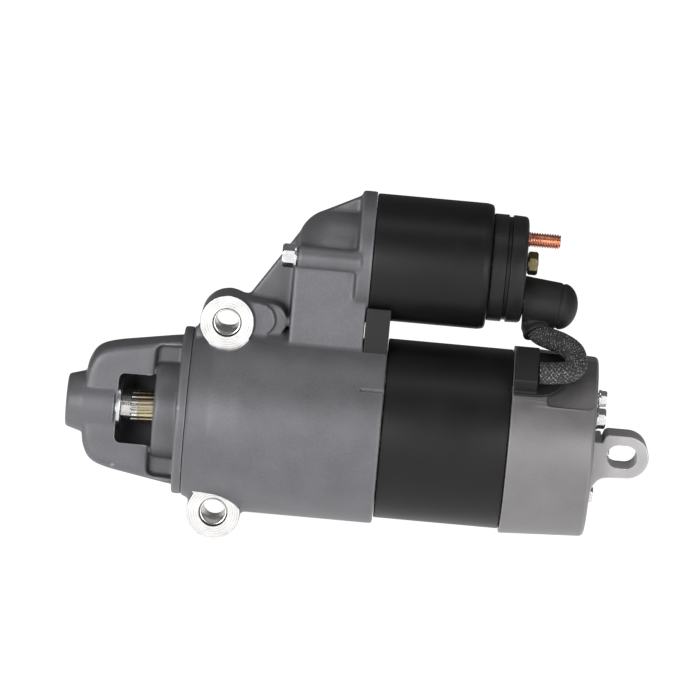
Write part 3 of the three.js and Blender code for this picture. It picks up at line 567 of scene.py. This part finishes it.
def gear_housing():
    x0, x1 = HOUSING_X
    barrel = revolve("barrel", [(x0 - 0.4, 0), (x0 - 0.4, 33, 1), (-57, 36.4, 12), (-46, BARREL_R, 12),
                                (x1, BARREL_R, 0.5), (x1, 0)])
    neck_x = (-29.5, -0.6)
    neck = block("neck", neck_x, (-19, 19), (MOTOR_Z + 20, SOLENOID_Z))
    dome = [(neck_x[0], 0)] + [(neck_x[0] + 15 * (1 - math.cos(a)), 3 + 14.2 * math.sin(a))
                               for a in (math.pi / 2 * i / 16 for i in range(17))]
    bonnet = revolve("bonnet", dome + [(-4, 17.2), (-4, 0)], SOLENOID)
    flange = revolve("face", bar_outline(-5.7, 0.4, 25.2, 0.5), SOLENOID)
    gusset = prism("gusset", [(-24, SOLENOID_Z + 12), (-22, SOLENOID_Z + 15), (-4.7, SOLENOID_Z + 23.7),
                              (-4.7, SOLENOID_Z + 12)], -3.6, 3.6)
    web = prism("web", [(-52, MOTOR_Z + 35), (-46.7, MOTOR_Z + 47), (-28.5, MOTOR_Z + 74.5),
                        (-28.5, MOTOR_Z + 35)], -2.6, 3.6)
    x, z = UPPER_BOSS
    arm_outline = [(x, z - 6), (-52, MOTOR_Z + 30), (-41, MOTOR_Z + 33.4)]
    arm_outline += arc(-37.4, MOTOR_Z + 40, 6.7, -1.45, 1.4, 16)
    arm_outline += [(-42, MOTOR_Z + 47.2), (x, MOTOR_Z + 48.6)]
    arm = prism("arm", arm_outline, -14.5, 4)
    ledge_outline = [(x, z), (x, z - 6), (-47, MOTOR_Z + 33.6)]
    ledge_outline += arc(-41.5, MOTOR_Z + 40.2, 6.3, -1.4, 1.35, 16)
    ledge_outline.append((x, MOTOR_Z + 48))
    ledge = prism("ledge", ledge_outline, -16.2, 0)
    lug = prism("lug", [(x0, MOTOR_Z + 26), (x0 + 10, MOTOR_Z + 26), (x0 + 7, MOTOR_Z + 35.6),
                        (x0 + 1, MOTOR_Z + 35.2)], -14, -4)
    pieces = [barrel, neck, bonnet, flange, gusset, web, arm, ledge, lug,
              boss("upper", UPPER_BOSS), boss("lower", LOWER_BOSS)]
    seats = []
    for i, node in enumerate(("solenoid_screw_1", "solenoid_screw_2")):
        c = cad_centre(node)
        seat_x = cad_range(node, 0)[0] + SCREW_HEAD + 0.3
        pieces.append(revolve(f"screw_boss_{i}", bar_outline(seat_x, -4, 4.5, 0.5), (c.y, c.z)))
        inner = sorted((0, c.y))
        pieces.append(block(f"screw_root_{i}", (seat_x + 0.4, -4), inner, (c.z - 3.2, c.z + 3.2)))
        seats.append(revolve(f"screw_seat_{i}", bar_outline(-45, seat_x, 5.3, 0), (c.y, c.z)))
    piece = fuse("housing_casting", pieces, 0.6, 12)

    bay = revolve("bay", [(-80, 0), (-80, 27.5), (-46, 27.5), (-42, 32), (-9.5, 32), (-9.5, 27.1),
                          (20, 27.1), (20, 0)])
    bores = [cross_bar(f"bore_{i}", *place, BOSS_BORE_R, -45, 45)
             for i, place in enumerate((UPPER_BOSS, LOWER_BOSS))]
    x, z = LOWER_BOSS
    milled = [(x - 12, z - 12), (x + 12, z - 12), (x + 11.6, z + 0.3), (x + 10.2, z + 1.9),
              (x + 8, z + 3.9), (x + 5.5, z + 5.5), (x + 3, z + 6.7), (x, z + 7.5), (x - 4, z + 7.8),
              (x - 7.9, z + 7.6), (x - 12, z + 7)]
    faces = [cross_bar("upper_face", *UPPER_BOSS, BOSS_R + 0.3, -45, MOUNT_Y),
             prism("lower_face", milled, -45, MOUNT_Y)]
    seat = block("seat", (neck_x[1], x1 + 4), (-20, 20), (MOTOR_Z + 28.7, SOLENOID_Z - 26))
    plunger_bore = revolve("plunger_bore", [(-27.6, 0), (-27.6, 7.2), (-24.6, PLUNGER_BORE_R),
                                            (10, PLUNGER_BORE_R), (10, 0)], SOLENOID)
    lever_slot = block("lever_slot", (-27, -6), (-5, 5), (MOTOR_Z + 25, SOLENOID_Z))
    front = block("front", (x0 - 8, x0), (-FAR, FAR), (-10, 160))
    solenoid_face = revolve("solenoid_face", bar_outline(0, 6, 30, 0), SOLENOID)
    rear = revolve("rear", bar_outline(x1, x1 + 8, 45, 0))
    notch = block("notch", (x1 - 9.5, x1 + 2), (-38, -31.2), (MOTOR_Z + 18.3, MOTOR_Z + 19.4))
    cut(piece, [bay, *faces, *bores, *seats, seat, plunger_bore, lever_slot, front, solenoid_face, rear,
                notch], "MANIFOLD")
    finish(piece, "housing", ["gear_housing"], "cast_paint", 40)
    for name, (x, z) in (("upper_face", UPPER_BOSS), ("lower_face", LOWER_BOSS)):
        MATERIALS[name] = machined_face(name, (x, z))
        paint_where(piece, name, lambda c, n: n.y < -0.9 and abs(c.y - MOUNT_Y) < 0.05
                    and math.hypot(c.x - x, c.z - z) < 16)
        paint_where(piece, name, lambda c, n: abs(n.y) < 0.3
                    and math.hypot(c.x - x, c.z - z) < BOSS_BORE_R + 0.05)


def rear_cover():
    x0, x1 = COVER_X
    outer = [(x0, 34.1), (x0, 36.7, 0.5), (x1 - 0.2, 35.1, 1.8), (x1, 31.5, 0.8), (x1 - 0.7, 30.4, 0.8),
             (x1 - 0.7, 15, 0.8), (x1, 13.6, 0.8), (x1, 0)]
    inner = [(x1 - 1.5, 0), (x1 - 1.5, 7.4), (x1 - 10, 7.4), (x1 - 10, 10.4), (x1 - 3.2, 10.4, 1),
             (x1 - 3.2, 31.2, 1.5)]
    piece = revolve("cover_casting", outer + inner, segments=192)
    relief = arc_pad("relief", x0 + 13, x1 + 4, 34.9, 40, 100, 149, 8)
    cut(piece, [fuse("relief_soft", [relief], 0.6, 40)])
    finish(piece, "housing", ["rear_cover"], "bare_aluminium", 40)


def rear_bracket():
    foot, end = cad_range("rear_bracket", 0)
    ear_x = end - EAR_R
    low = [(foot + 0.9 * t + 6 * t * t, MOTOR_Z - 17 + 8.4 * (1 - (1 - t) ** 2)) for t in
           (0, 0.2, 0.4, 0.6, 0.8, 1)]
    outline = low + arc(ear_x, MOTOR_Z, EAR_R, -math.pi / 2, math.pi / 2, 24)
    outline += [(foot + 5.5, MOTOR_Z + EAR_R), (foot + 4.2, MOTOR_Z + 7.4), (foot + 3.4, MOTOR_Z + 4.9),
                (foot, MOTOR_Z + 4.9)]
    ear = prism("ear", outline, MOUNT_Y, MOUNT_Y + EAR_DEPTH)
    base = prism("base", [(foot - 1, MOTOR_Z - 12), (foot + 1.2, MOTOR_Z - 12), (foot + 3.6, MOTOR_Z - 9),
                          (foot + 3.6, MOTOR_Z + 4.9), (foot - 1, MOTOR_Z + 4.9)], MOUNT_Y, 12)
    piece = fuse("rear_ear", [ear, base], 0.3, 3)
    half = (SLOT[0] - SLOT[1]) / 2
    slot_x = ear_x - 2.2
    r = SLOT[1] / 2
    ring = arc(slot_x + half, MOTOR_Z, r, -math.pi / 2, math.pi / 2, 20)
    ring += arc(slot_x - half, MOTOR_Z, r, math.pi / 2, 3 * math.pi / 2, 20)
    hole = prism("hole", ring, MOUNT_Y - 5, MOUNT_Y + EAR_DEPTH + 5)
    back = block("back", (foot - 4, foot), (-FAR, FAR), (-10, 100))
    screw = cad_centre("bracket_screw")
    screw_hole = revolve("screw_hole", bar_outline(foot - 4, foot + 9, 2.5, 0), (screw.y, screw.z))
    cut(piece, [hole, back, screw_hole])
    finish(piece, "housing", ["rear_bracket"], "pale_metal", 40)


def tubes():
    x0, x1 = YOKE_X
    yoke = revolve("motor_tube", [(x0, TUBE_BORE_R), (x0, TUBE_R, 0.5), (x1, TUBE_R, 0.5),
                                  (x1, TUBE_BORE_R)], segments=192)
    finish(yoke, "housing", ["yoke"], "black_paint", 40)
    x0, x1 = cad_range("solenoid_case", 0)
    x0 -= 0.2
    case = revolve("solenoid_can", [
        (x0, PLUNGER_BORE_R), (x0, CAN_R, 0.9), (x1 - 2.8, CAN_R, 0.6), (x1 - 0.5, CAN_R - 0.5, 1.2),
        (x1, CAN_R - 1.7, 0.4), (x1, CAN_R - 2), (x0 + 3, CAN_R - 2), (x0 + 3, PLUNGER_BORE_R)],
        SOLENOID, 192)
    finish(case, "housing", ["solenoid_case"], "black_paint", 40)
    for node, place in (("mount_sleeve_1", UPPER_BOSS), ("mount_sleeve_2", LOWER_BOSS)):
        y0, y1 = cad_range(node, 1)
        sleeve = cross_bar(node + "_tube", *place, BOSS_BORE_R - 0.3, y0, y1)
        cut(sleeve, [cross_bar("bore", *place, SLEEVE_BORE_R, y0 - 5, y1 + 5)])
        bevel(sleeve, 0.35)
        finish(sleeve, "housing", [node], "machined_steel")


# ---------------------------------------------------------------- solenoid cap and terminals
def cap():
    x0, x1 = cad_range("solenoid_cap", 0)
    groove_r = CAP_R - 0.8
    piece = revolve("cap_moulding", [
        (x0, 19), (x0, CAP_R, 0.4), (x0 + 5.6, CAP_R, 0.4), (x0 + 5.9, groove_r, 0.3),
        (x0 + 7.1, groove_r, 0.3), (x0 + 7.4, CAP_R, 0.4), (x1 - 0.6, CAP_R - 0.2, 1.6),
        (x1, CAP_R - 3, 0.6), (x1 - 0.6, CAP_R - 4, 0.5), (x1 - 0.6, 0), (x1 - 3.9, 0),
        (x1 - 3.9, 19)], SOLENOID, 160)
    holes = []
    for node, hole_r in (("battery_terminal", 3.3), ("motor_terminal", 3.3), ("switch_terminal", 1.8)):
        c = cad_centre(node)
        holes.append(revolve("hole", bar_outline(x0 + 2, x1 + 4, hole_r, 0), (c.y, c.z), 48))
    cut(piece, holes, "MANIFOLD")
    finish(piece, "housing", ["solenoid_cap"], "black_plastic", 40)


def thread(x0, x1, r, pitch, centre, name, segments=48):
    """A bar with a helical thread, run out at both ends."""
    depth = 0.61 * pitch
    per_pitch = 10
    count = int((x1 - x0) / pitch * per_pitch)
    stations = [x0 + (x1 - x0) * i / count for i in range(count + 1)]

    def radius(x, turn):
        phase = ((x - x0) / pitch - turn / TAU) % 1.0
        wave = abs(2 * phase - 1)
        tooth = min(1.0, max(0.0, 1.25 * wave - 0.125))
        end = min(1.0, (x1 - x) / (0.9 * pitch))
        return r - depth * (1 - tooth) - 0.55 * (1 - end) * depth

    return lathe_field(name, stations, radius, centre, segments)


def hex_field(name, x0, x1, across, centre, chamfer_at, segments=96):
    """A hexagon with its corners chamfered round at one end, both ends, or neither."""
    corner = across / math.sqrt(3)
    steps = 12
    stations = [x0 + (x1 - x0) * i / steps for i in range(steps + 1)]
    stations[1], stations[-2] = x0 + 0.12, x1 - 0.12

    def radius(x, turn):
        flat = across / 2 / math.cos((turn + math.pi / 6) % (math.pi / 3) - math.pi / 6)
        limit = corner
        if "low" in chamfer_at:
            limit = min(limit, across / 2 * 0.96 + (x - x0) * 1.7)
        if "high" in chamfer_at:
            limit = min(limit, across / 2 * 0.96 + (x1 - x) * 1.7)
        return min(flat, limit)

    return lathe_field(name, stations, radius, centre, segments)


def nut(node, across, hole, metal):
    x0, x1 = cad_range(node, 0)
    c = cad_centre(node)
    piece = hex_field(node + "_hex", x0, x1, across, (c.y, c.z), ("low", "high"))
    cut(piece, [thread(x0 - 1, x1 + 1, hole, 1.0, (c.y, c.z), "bore")])
    finish(piece, "housing", [node], metal)


def terminals():
    for node, length in (("battery_terminal", 12.4), ("motor_terminal", 9)):
        x0, x1 = cad_range(node, 0)
        c = cad_centre(node)
        head = revolve("head", bar_outline(x0, x0 + 3, 5.4, 0.4), (c.y, c.z), 64)
        shank = revolve("shank", bar_outline(x0 + 2.6, x1 - length + 0.6, 2.9, 0), (c.y, c.z), 48)
        stud = thread(x1 - length, x1, 3.0, 1.0, (c.y, c.z), "stud")
        piece = join(node + "_stud", [head, shank, stud])
        finish(piece, "housing", [node], "copper", 25)
    nut("switch_terminal_nut", 8, 1.8, "brass")
    nut("motor_terminal_nut", 10, 3.25, "zinc")
    x0, x1 = cad_range("switch_terminal", 0)
    c = cad_centre("switch_terminal")
    stud = thread(x0, x1, 1.5, 0.7, (c.y, c.z), "switch_stud", 32)
    finish(stud, "housing", ["switch_terminal"], "brass", 25)
    x0, x1 = cad_range("lead_lug", 0)
    c = cad_centre("lead_lug")
    lug = revolve("lug_ring", [(x0, 3.3, 0.2), (x0, 6.2, 0.4), (x1, 6.2, 0.4), (x1, 3.3, 0.2)],
                  (c.y, c.z), 64)
    finish(lug, "housing", ["lead_lug"], "copper")


# ---------------------------------------------------------------- fasteners
def screw(node, direction, head, across, shank_r):
    """A flanged hex screw. direction is +1 where the shank runs towards +X from the head."""
    x0, x1 = cad_range(node, 0)
    c = cad_centre(node)
    centre = (c.y, c.z)
    outer = x0 if direction > 0 else x1
    seat = outer + direction * head
    washer = sorted((seat, seat - direction * 1.0))
    hexed = sorted((outer, seat - direction * 0.8))
    shank = sorted((seat - direction * 0.5, x1 if direction > 0 else x0))
    parts = [revolve("washer", bar_outline(*washer, across * 0.62, 0.25), centre, 72),
             hex_field("hex", *hexed, across, centre, ("low",) if direction > 0 else ("high",)),
             revolve("shank", bar_outline(*shank, shank_r, 0.3), centre, 32)]
    piece = join(node + "_hex", parts)
    finish(piece, "housing", [node], "zinc")


def screws():
    screw("solenoid_screw_1", 1, SCREW_HEAD, 8, 2.2)
    screw("solenoid_screw_2", 1, SCREW_HEAD, 8, 2.2)
    screw("through_bolt_1", -1, 3.2, 5.5, 2.1)
    screw("through_bolt_2", -1, 3.2, 5.5, 2.1)
    screw("cover_screw", -1, 3.8, 7, 2.2)
    screw("bracket_screw", -1, 3.4, 8, 2.2)


# ---------------------------------------------------------------- rubber parts and the lead
LEAD_R = 4.2
BRAID_DEPTH = 0.42
BRAID_ROOT_R = LEAD_R - 0.35
STRANDS = 12
STRAND_LAY = 17.0  # length of lead for one turn of a strand
LEAD_ROUTE = [
    (65.6, 0, 48.4), (66, -1, 45.4), (67.6, -3.6, 43), (71.5, -8, 42), (76.5, -14, 41.2),
    (80.8, -20, 39.2), (82, -26, 35.4), (79.4, -29.2, 32.8), (74, -30, 31.8), (68.1, -30, 31.4),
]
BOOT_X = (60.4, 73.6, 81.5)  # skirt, start of the dome, tip
BOOT_R = 9.1
BOOT_TILT = math.radians(6)


def lead():
    """A jumper in a braided sleeve: two sets of strands cross over and under each other."""
    route = [(x, y, MOTOR_Z + z) for x, y, z in LEAD_ROUTE]
    path = catmull(route, 60)
    steps = np.linalg.norm(np.diff(path, axis=0), axis=1)
    length = np.concatenate([[0], np.cumsum(steps)])
    segments = 96

    def height(i, k):
        """0 between strands to 1 on top of the strand that crosses over."""
        turn = k / segments
        right = STRANDS * (turn + length[i] / STRAND_LAY)
        left = STRANDS * (turn - length[i] / STRAND_LAY)
        over_right = math.sin(math.pi * (right % 1.0))
        over_left = math.sin(math.pi * (left % 1.0))
        cell = (math.floor(right) + math.floor(left)) % 2
        return max(over_right * (1.0 if cell else 0.55), over_left * (0.55 if cell else 1.0))

    piece = sweep("braided_lead", path, lambda i, k: BRAID_ROOT_R + BRAID_DEPTH * height(i, k), segments)
    layer = piece.data.attributes.new("braid", "FLOAT", "POINT")
    values = np.zeros(len(piece.data.vertices), np.float32)
    coords = np.array([v.co for v in piece.data.vertices]) / MM
    for j, co in enumerate(coords):
        i = int(np.argmin(np.sum((path - co) ** 2, axis=1)))
        values[j] = (np.linalg.norm(co - path[i]) - BRAID_ROOT_R) / BRAID_DEPTH
    layer.data.foreach_set("value", values)
    material, tree, shader = principled("braid", (0.02, 0.02, 0.02), 0.7)
    attribute = tree.nodes.new("ShaderNodeAttribute")
    attribute.attribute_name = "braid"
    # Painted highlight: the strand tops are mixed towards pale grey, more where the weave stands higher,
    # with a random fleck.
    fleck = noise(tree, coordinates(tree), 0.7, 2.0, 0.7)
    lit = math_node(tree, "MULTIPLY", remap(tree, fleck, 0, 1, 0.52, 0.66),
                    remap(tree, attribute.outputs["Fac"], 0, 1, 0.45, 0.95))
    # Painted shade: the base colour is darkest down between the strands and lighter on their tops.
    base = ramp(tree, attribute.outputs["Fac"],
                [(0.1, (0.004, 0.004, 0.004)), (0.9, (0.028, 0.028, 0.029))])
    tree.links.new(mix(tree, lit, base, (0.34, 0.34, 0.33)), shader.inputs["Base Color"])
    fibre = noise(tree, coordinates(tree), 0.18, 2.0)
    bump(tree, shader, fibre, 0.05, 0.6)
    MATERIALS["braid"] = material
    finish(piece, "housing", ["motor_lead"], "braid", 60)


def boot():
    """The rubber cap over the motor terminal, with its neck down to the lead."""
    c = cad_centre("motor_terminal")
    centre = (c.y, c.z)
    skirt, shoulder, tip = BOOT_X
    outline = [(skirt - 2, 0), (skirt - 2, BOOT_R), (skirt, BOOT_R + 0.1, 0.8), (skirt + 1.6, BOOT_R, 0.5),
               (shoulder + 0.2, BOOT_R, 0.3), (shoulder + 0.5, BOOT_R - 0.5, 0.2),
               (shoulder + 1.1, BOOT_R - 0.5, 0.2), (shoulder + 1.4, BOOT_R - 0.1, 0.2)]
    outline += [(shoulder + 1.2 + (tip - shoulder - 1.2) * math.sin(a), BOOT_R * math.cos(a))
                for a in (math.pi / 2 * (i + 1) / 16 for i in range(16))]
    dome = revolve("dome", outline, centre, 128)
    pivot = Vector((skirt, 0, c.z)) * MM
    dome.data.transform(Matrix.Translation(pivot) @ Matrix.Rotation(BOOT_TILT, 4, "Y")
                        @ Matrix.Translation(-pivot))
    path = catmull([(65.2, 0, MOTOR_Z + 53), (65.3, -0.2, MOTOR_Z + 49.6), (65.7, -0.9, MOTOR_Z + 46.2),
                    (67.1, -2.8, MOTOR_Z + 43.2)], 10)
    neck = sweep("neck", path, lambda i, k: 6.2 - 0.5 * i / len(path), 64)
    lip = sweep("lip", path[-5:], lambda i, k: 6.1, 64)
    piece = fuse("terminal_cap", [dome, neck, lip], 0.3, 4)
    cavity = revolve("cavity", [(56, 0), (56, 6.9), (71.2, 6.9), (71.2, 0)], centre, 64)
    front = block("front", (skirt - 5, skirt - 0.2), (-14, 14), (c.z - 14, c.z + 14))
    bore_path = catmull([(x, y, MOTOR_Z + z) for x, y, z in [(65.6, 0, 52)] + LEAD_ROUTE[:6]], 8)
    bore = sweep("bore", bore_path, lambda i, k: LEAD_R + 0.3, 48)
    cut(piece, [cavity, front, bore])
    finish(piece, "housing", ["terminal_boot"], "rubber", 50)


def arc_pad(name, x0, x1, r0, r1, start, end, corner=0.0, steps=40):
    """A pad that lies on a round body, its lower far corner rounded in the unrolled outline."""
    rows = []
    for i in range(steps + 1):
        turn = math.radians(start + (end - start) * i / steps)
        to_end = math.radians((end - start) * (1 - i / steps)) * r0
        drop = max(0.0, 1 - to_end / corner) if corner else 0.0
        right = x1 - corner * (1 - math.sqrt(max(0.0, 1 - drop * drop)))
        rows.append((turn, x0, right))
    verts = []
    for turn, low, high in rows:
        for x, r in ((low, r0), (low, r1), (high, r1), (high, r0)):
            verts.append(Vector((x, r * math.cos(turn), MOTOR_Z + r * math.sin(turn))) * MM)
    return make_object(name, verts, tube_faces(len(rows), 4))


def grommets():
    pad = arc_pad("pad", 58.8, 79, 36.9, 38.3, 106, 144, 11)
    socket = arc_pad("socket", 58.8, 67.5, 36.9, 46.6, 120, 142)
    piece = fuse("lead_pad", [pad, socket], 0.3, 8)
    finish(piece, "housing", ["lead_grommet"], "rubber", 60)
    (x0, x1), (y0, y1), (z0, z1) = (cad_range("lever_grommet", i) for i in range(3))
    body = block("body", (x0, x1), (y0, y1), (z0, z1))
    cut(body, [revolve("case", bar_outline(x0 - 5, x1 + 5, 25.5, 0), SOLENOID)])
    piece = fuse("lever_packing", [body], 0.35, 3)
    finish(piece, "housing", ["lever_grommet"], "rubber", 60)


# ---------------------------------------------------------------- what shows in the nose window
SHAFT_R = 6.4
SPLINE_X = (-88.3, -29.8)
SPLINES = 18
PINION_BORE_R = 6.8
PINION_TIP_R = 15
PINION_HUB_R = 11


def drive():
    x0 = cad_range("output_shaft", 0)[0]
    stations = [x0, x0 + 0.6, -88.6, -88.2] + list(np.linspace(-88, -30, 30)) + [-29.6, -9]

    def splined(x, turn):
        if x == x0:
            return SHAFT_R - 0.6
        if not SPLINE_X[0] < x < SPLINE_X[1]:
            return SHAFT_R
        return SHAFT_R - 0.35 * max(0.0, math.sin(SPLINES * (turn + 0.012 * x))) ** 0.5

    shaft = lathe_field("shaft", stations, splined, MOTOR, 288)
    carrier = revolve("carrier", [(-9.4, 0), (-9.4, 21, 0.5), (-3.5, 21, 0.5), (-3.5, 4.6), (-8, 4.6),
                                  (-8, 0)])
    parts = [shaft, carrier]
    for i in range(3):
        gear = cad_centre(f"planet_gear_{i + 1}")
        parts.append(revolve("pin", bar_outline(-4, 8.4, 2.8, 0.3), (gear.y, gear.z), 48))
    piece = join("splined_shaft", parts)
    finish(piece, "output_shaft", ["output_shaft"], "machined_steel")
    paint_where(piece, "oiled_steel", lambda c, n: -86 < c.x < -30)
    c = cad_centre("stop_collar")
    a, b = cad_range("stop_collar", 0)
    collar = revolve("stop_ring", [(a, 6.7, 0.3), (a, 9.7, 0.8), (b, 9.7, 0.8), (b, 6.7, 0.3)],
                     (c.y, c.z), 96)
    finish(collar, "output_shaft", ["stop_collar"], "zinc")


def gear_radius(teeth, module, addendum, dedendum, thin, turn):
    """Radius of an involute gear's outline at an angle, for fine teeth."""
    pitch = module * teeth / 2
    pressure = math.radians(20)
    base = pitch * math.cos(pressure)
    root, tip = pitch - dedendum, pitch + addendum

    def half_angle(r):
        local = math.acos(min(1.0, base / max(r, base)))
        return (math.pi / (2 * teeth) - thin / pitch + math.tan(pressure) - pressure
                - (math.tan(local) - local))

    levels = np.linspace(root, tip, 24)
    halves = np.array([half_angle(r) for r in levels])

    def radius(angle):
        off = abs((angle - turn + math.pi / teeth) % (TAU / teeth) - math.pi / teeth)
        if off <= halves[-1]:
            return tip
        if off >= halves[0]:
            return root
        return float(np.interp(off, halves[::-1], levels[::-1]))

    return radius


def pinion():
    x0, x1 = cad_range("pinion", 0)
    outline = gear_radius(13, 2, 2, 2.4, 0.05, math.pi / 2)
    teeth_end = -62
    chamfer = 1.6
    stations = [x0, x0 + 0.3, x0 + 0.8, x0 + chamfer, (x0 + teeth_end) / 2, teeth_end - 0.4, teeth_end]

    def radius(x, turn):
        lead_in = max(0.0, chamfer - (x - x0))
        return min(outline(turn), PINION_TIP_R - lead_in * 0.9)

    teeth = lathe_field("teeth", stations, radius, MOTOR, 520)
    cut(teeth, [revolve("bore", bar_outline(x0 - 4, x1 + 4, PINION_BORE_R, 0), MOTOR, 96)])
    hub_x = teeth_end - 0.5
    hub = revolve("hub", [(hub_x, PINION_BORE_R), (hub_x, PINION_HUB_R), (x1, PINION_HUB_R, 0.4),
                          (x1, PINION_BORE_R)], MOTOR, 96)
    piece = join("pinion_gear", [teeth, hub])
    finish(piece, "pinion", ["pinion"], "dark_steel", 25)


# ---------------------------------------------------------------- pieces kept from the frame
def keep_frame_pieces():
    """The hidden works keep their CAD shape and take a worked surface."""
    slots = {entry["node"]: entry["material_slot"] for entry in frame["record"]["subparts"]}
    for name, piece in frame["nodes"].items():
        if piece.hide_render:
            continue
        piece.data.materials.clear()
        piece.data.materials.append(MATERIALS[slots[name]])
        shade(piece, 28)
        edges = piece.modifiers.new("edges", "BEVEL")
        edges.width = 0.12 * MM
        edges.segments = 1
        edges.limit_method = "ANGLE"
        edges.angle_limit = math.radians(50)


# ---------------------------------------------------------------- floor, light and camera
CAMERA_ROLL = math.radians(5.2)
CAMERA_ELEVATION = math.radians(8)
CAMERA_DISTANCE = 2.2
CAMERA_LENS = 290
FLOOR_GLOW = 0.88
SKY_STRENGTH = 0.16


def lamp(name, place, size, power, aim):
    data = bpy.data.lights.new(name, "AREA")
    data.shape = "RECTANGLE"
    data.size, data.size_y = size
    data.energy = power
    light = bpy.data.objects.new(name, data)
    light.location = place
    light.rotation_euler = (Vector(aim) - Vector(place)).to_track_quat("-Z", "Y").to_euler()
    bpy.context.scene.collection.objects.link(light)


def studio():
    centre = Vector((-5.4, 0, MOTOR_Z + 29.4)) * MM
    foot = Vector((LOWER_BOSS[0], 0, LOWER_BOSS[1] - BOSS_R)) * MM
    bpy.ops.mesh.primitive_plane_add(size=12)
    floor = bpy.context.object
    floor.name = "floor"
    floor.location = foot + Vector((0, 0, -0.0001))
    material, tree, shader = principled("pale_floor", (0.9, 0.9, 0.9), 0.35)
    speck = noise(tree, coordinates(tree), 40, 2.0)
    tree.links.new(ramp(tree, speck, [(0.3, (0.89, 0.89, 0.89)), (0.7, (0.91, 0.91, 0.91))]),
                   shader.inputs["Base Color"])
    shader.inputs["Emission Color"].default_value = (1, 1, 1, 1)
    shader.inputs["Emission Strength"].default_value = FLOOR_GLOW
    floor.data.materials.append(material)

    world = bpy.data.worlds.new("studio")
    world.use_nodes = True
    world.node_tree.nodes["Background"].inputs["Color"].default_value = (1, 1, 1, 1)
    world.node_tree.nodes["Background"].inputs["Strength"].default_value = SKY_STRENGTH
    bpy.context.scene.world = world

    lamp("left_box", (-0.75, -1.5, 0.3), (0.7, 0.5), 13, centre)
    lamp("right_box", (0.75, -1.5, 0.3), (0.7, 0.5), 8, centre)
    lamp("top_strip", (0.0, -0.3, 0.9), (1.0, 0.12), 1.4, centre)

    data = bpy.data.cameras.new("camera")
    data.lens = CAMERA_LENS
    data.sensor_width = 36
    data.clip_end = 20
    camera = bpy.data.objects.new("camera", data)
    toward = Vector((0, -math.cos(CAMERA_ELEVATION), math.sin(CAMERA_ELEVATION)))
    camera.location = centre + toward * CAMERA_DISTANCE
    look = (centre - camera.location).to_track_quat("-Z", "Y").to_matrix().to_4x4()
    camera.matrix_world = Matrix.Translation(camera.location) @ look @ Matrix.Rotation(CAMERA_ROLL, 4, "Z")
    bpy.context.scene.collection.objects.link(camera)
    bpy.context.scene.camera = camera
    bpy.context.scene.view_settings.view_transform = "Standard"


studio()
nose()
gear_housing()
rear_cover()
rear_bracket()
tubes()
cap()
terminals()
screws()
lead()
boot()
grommets()
drive()
pinion()
keep_frame_pieces()
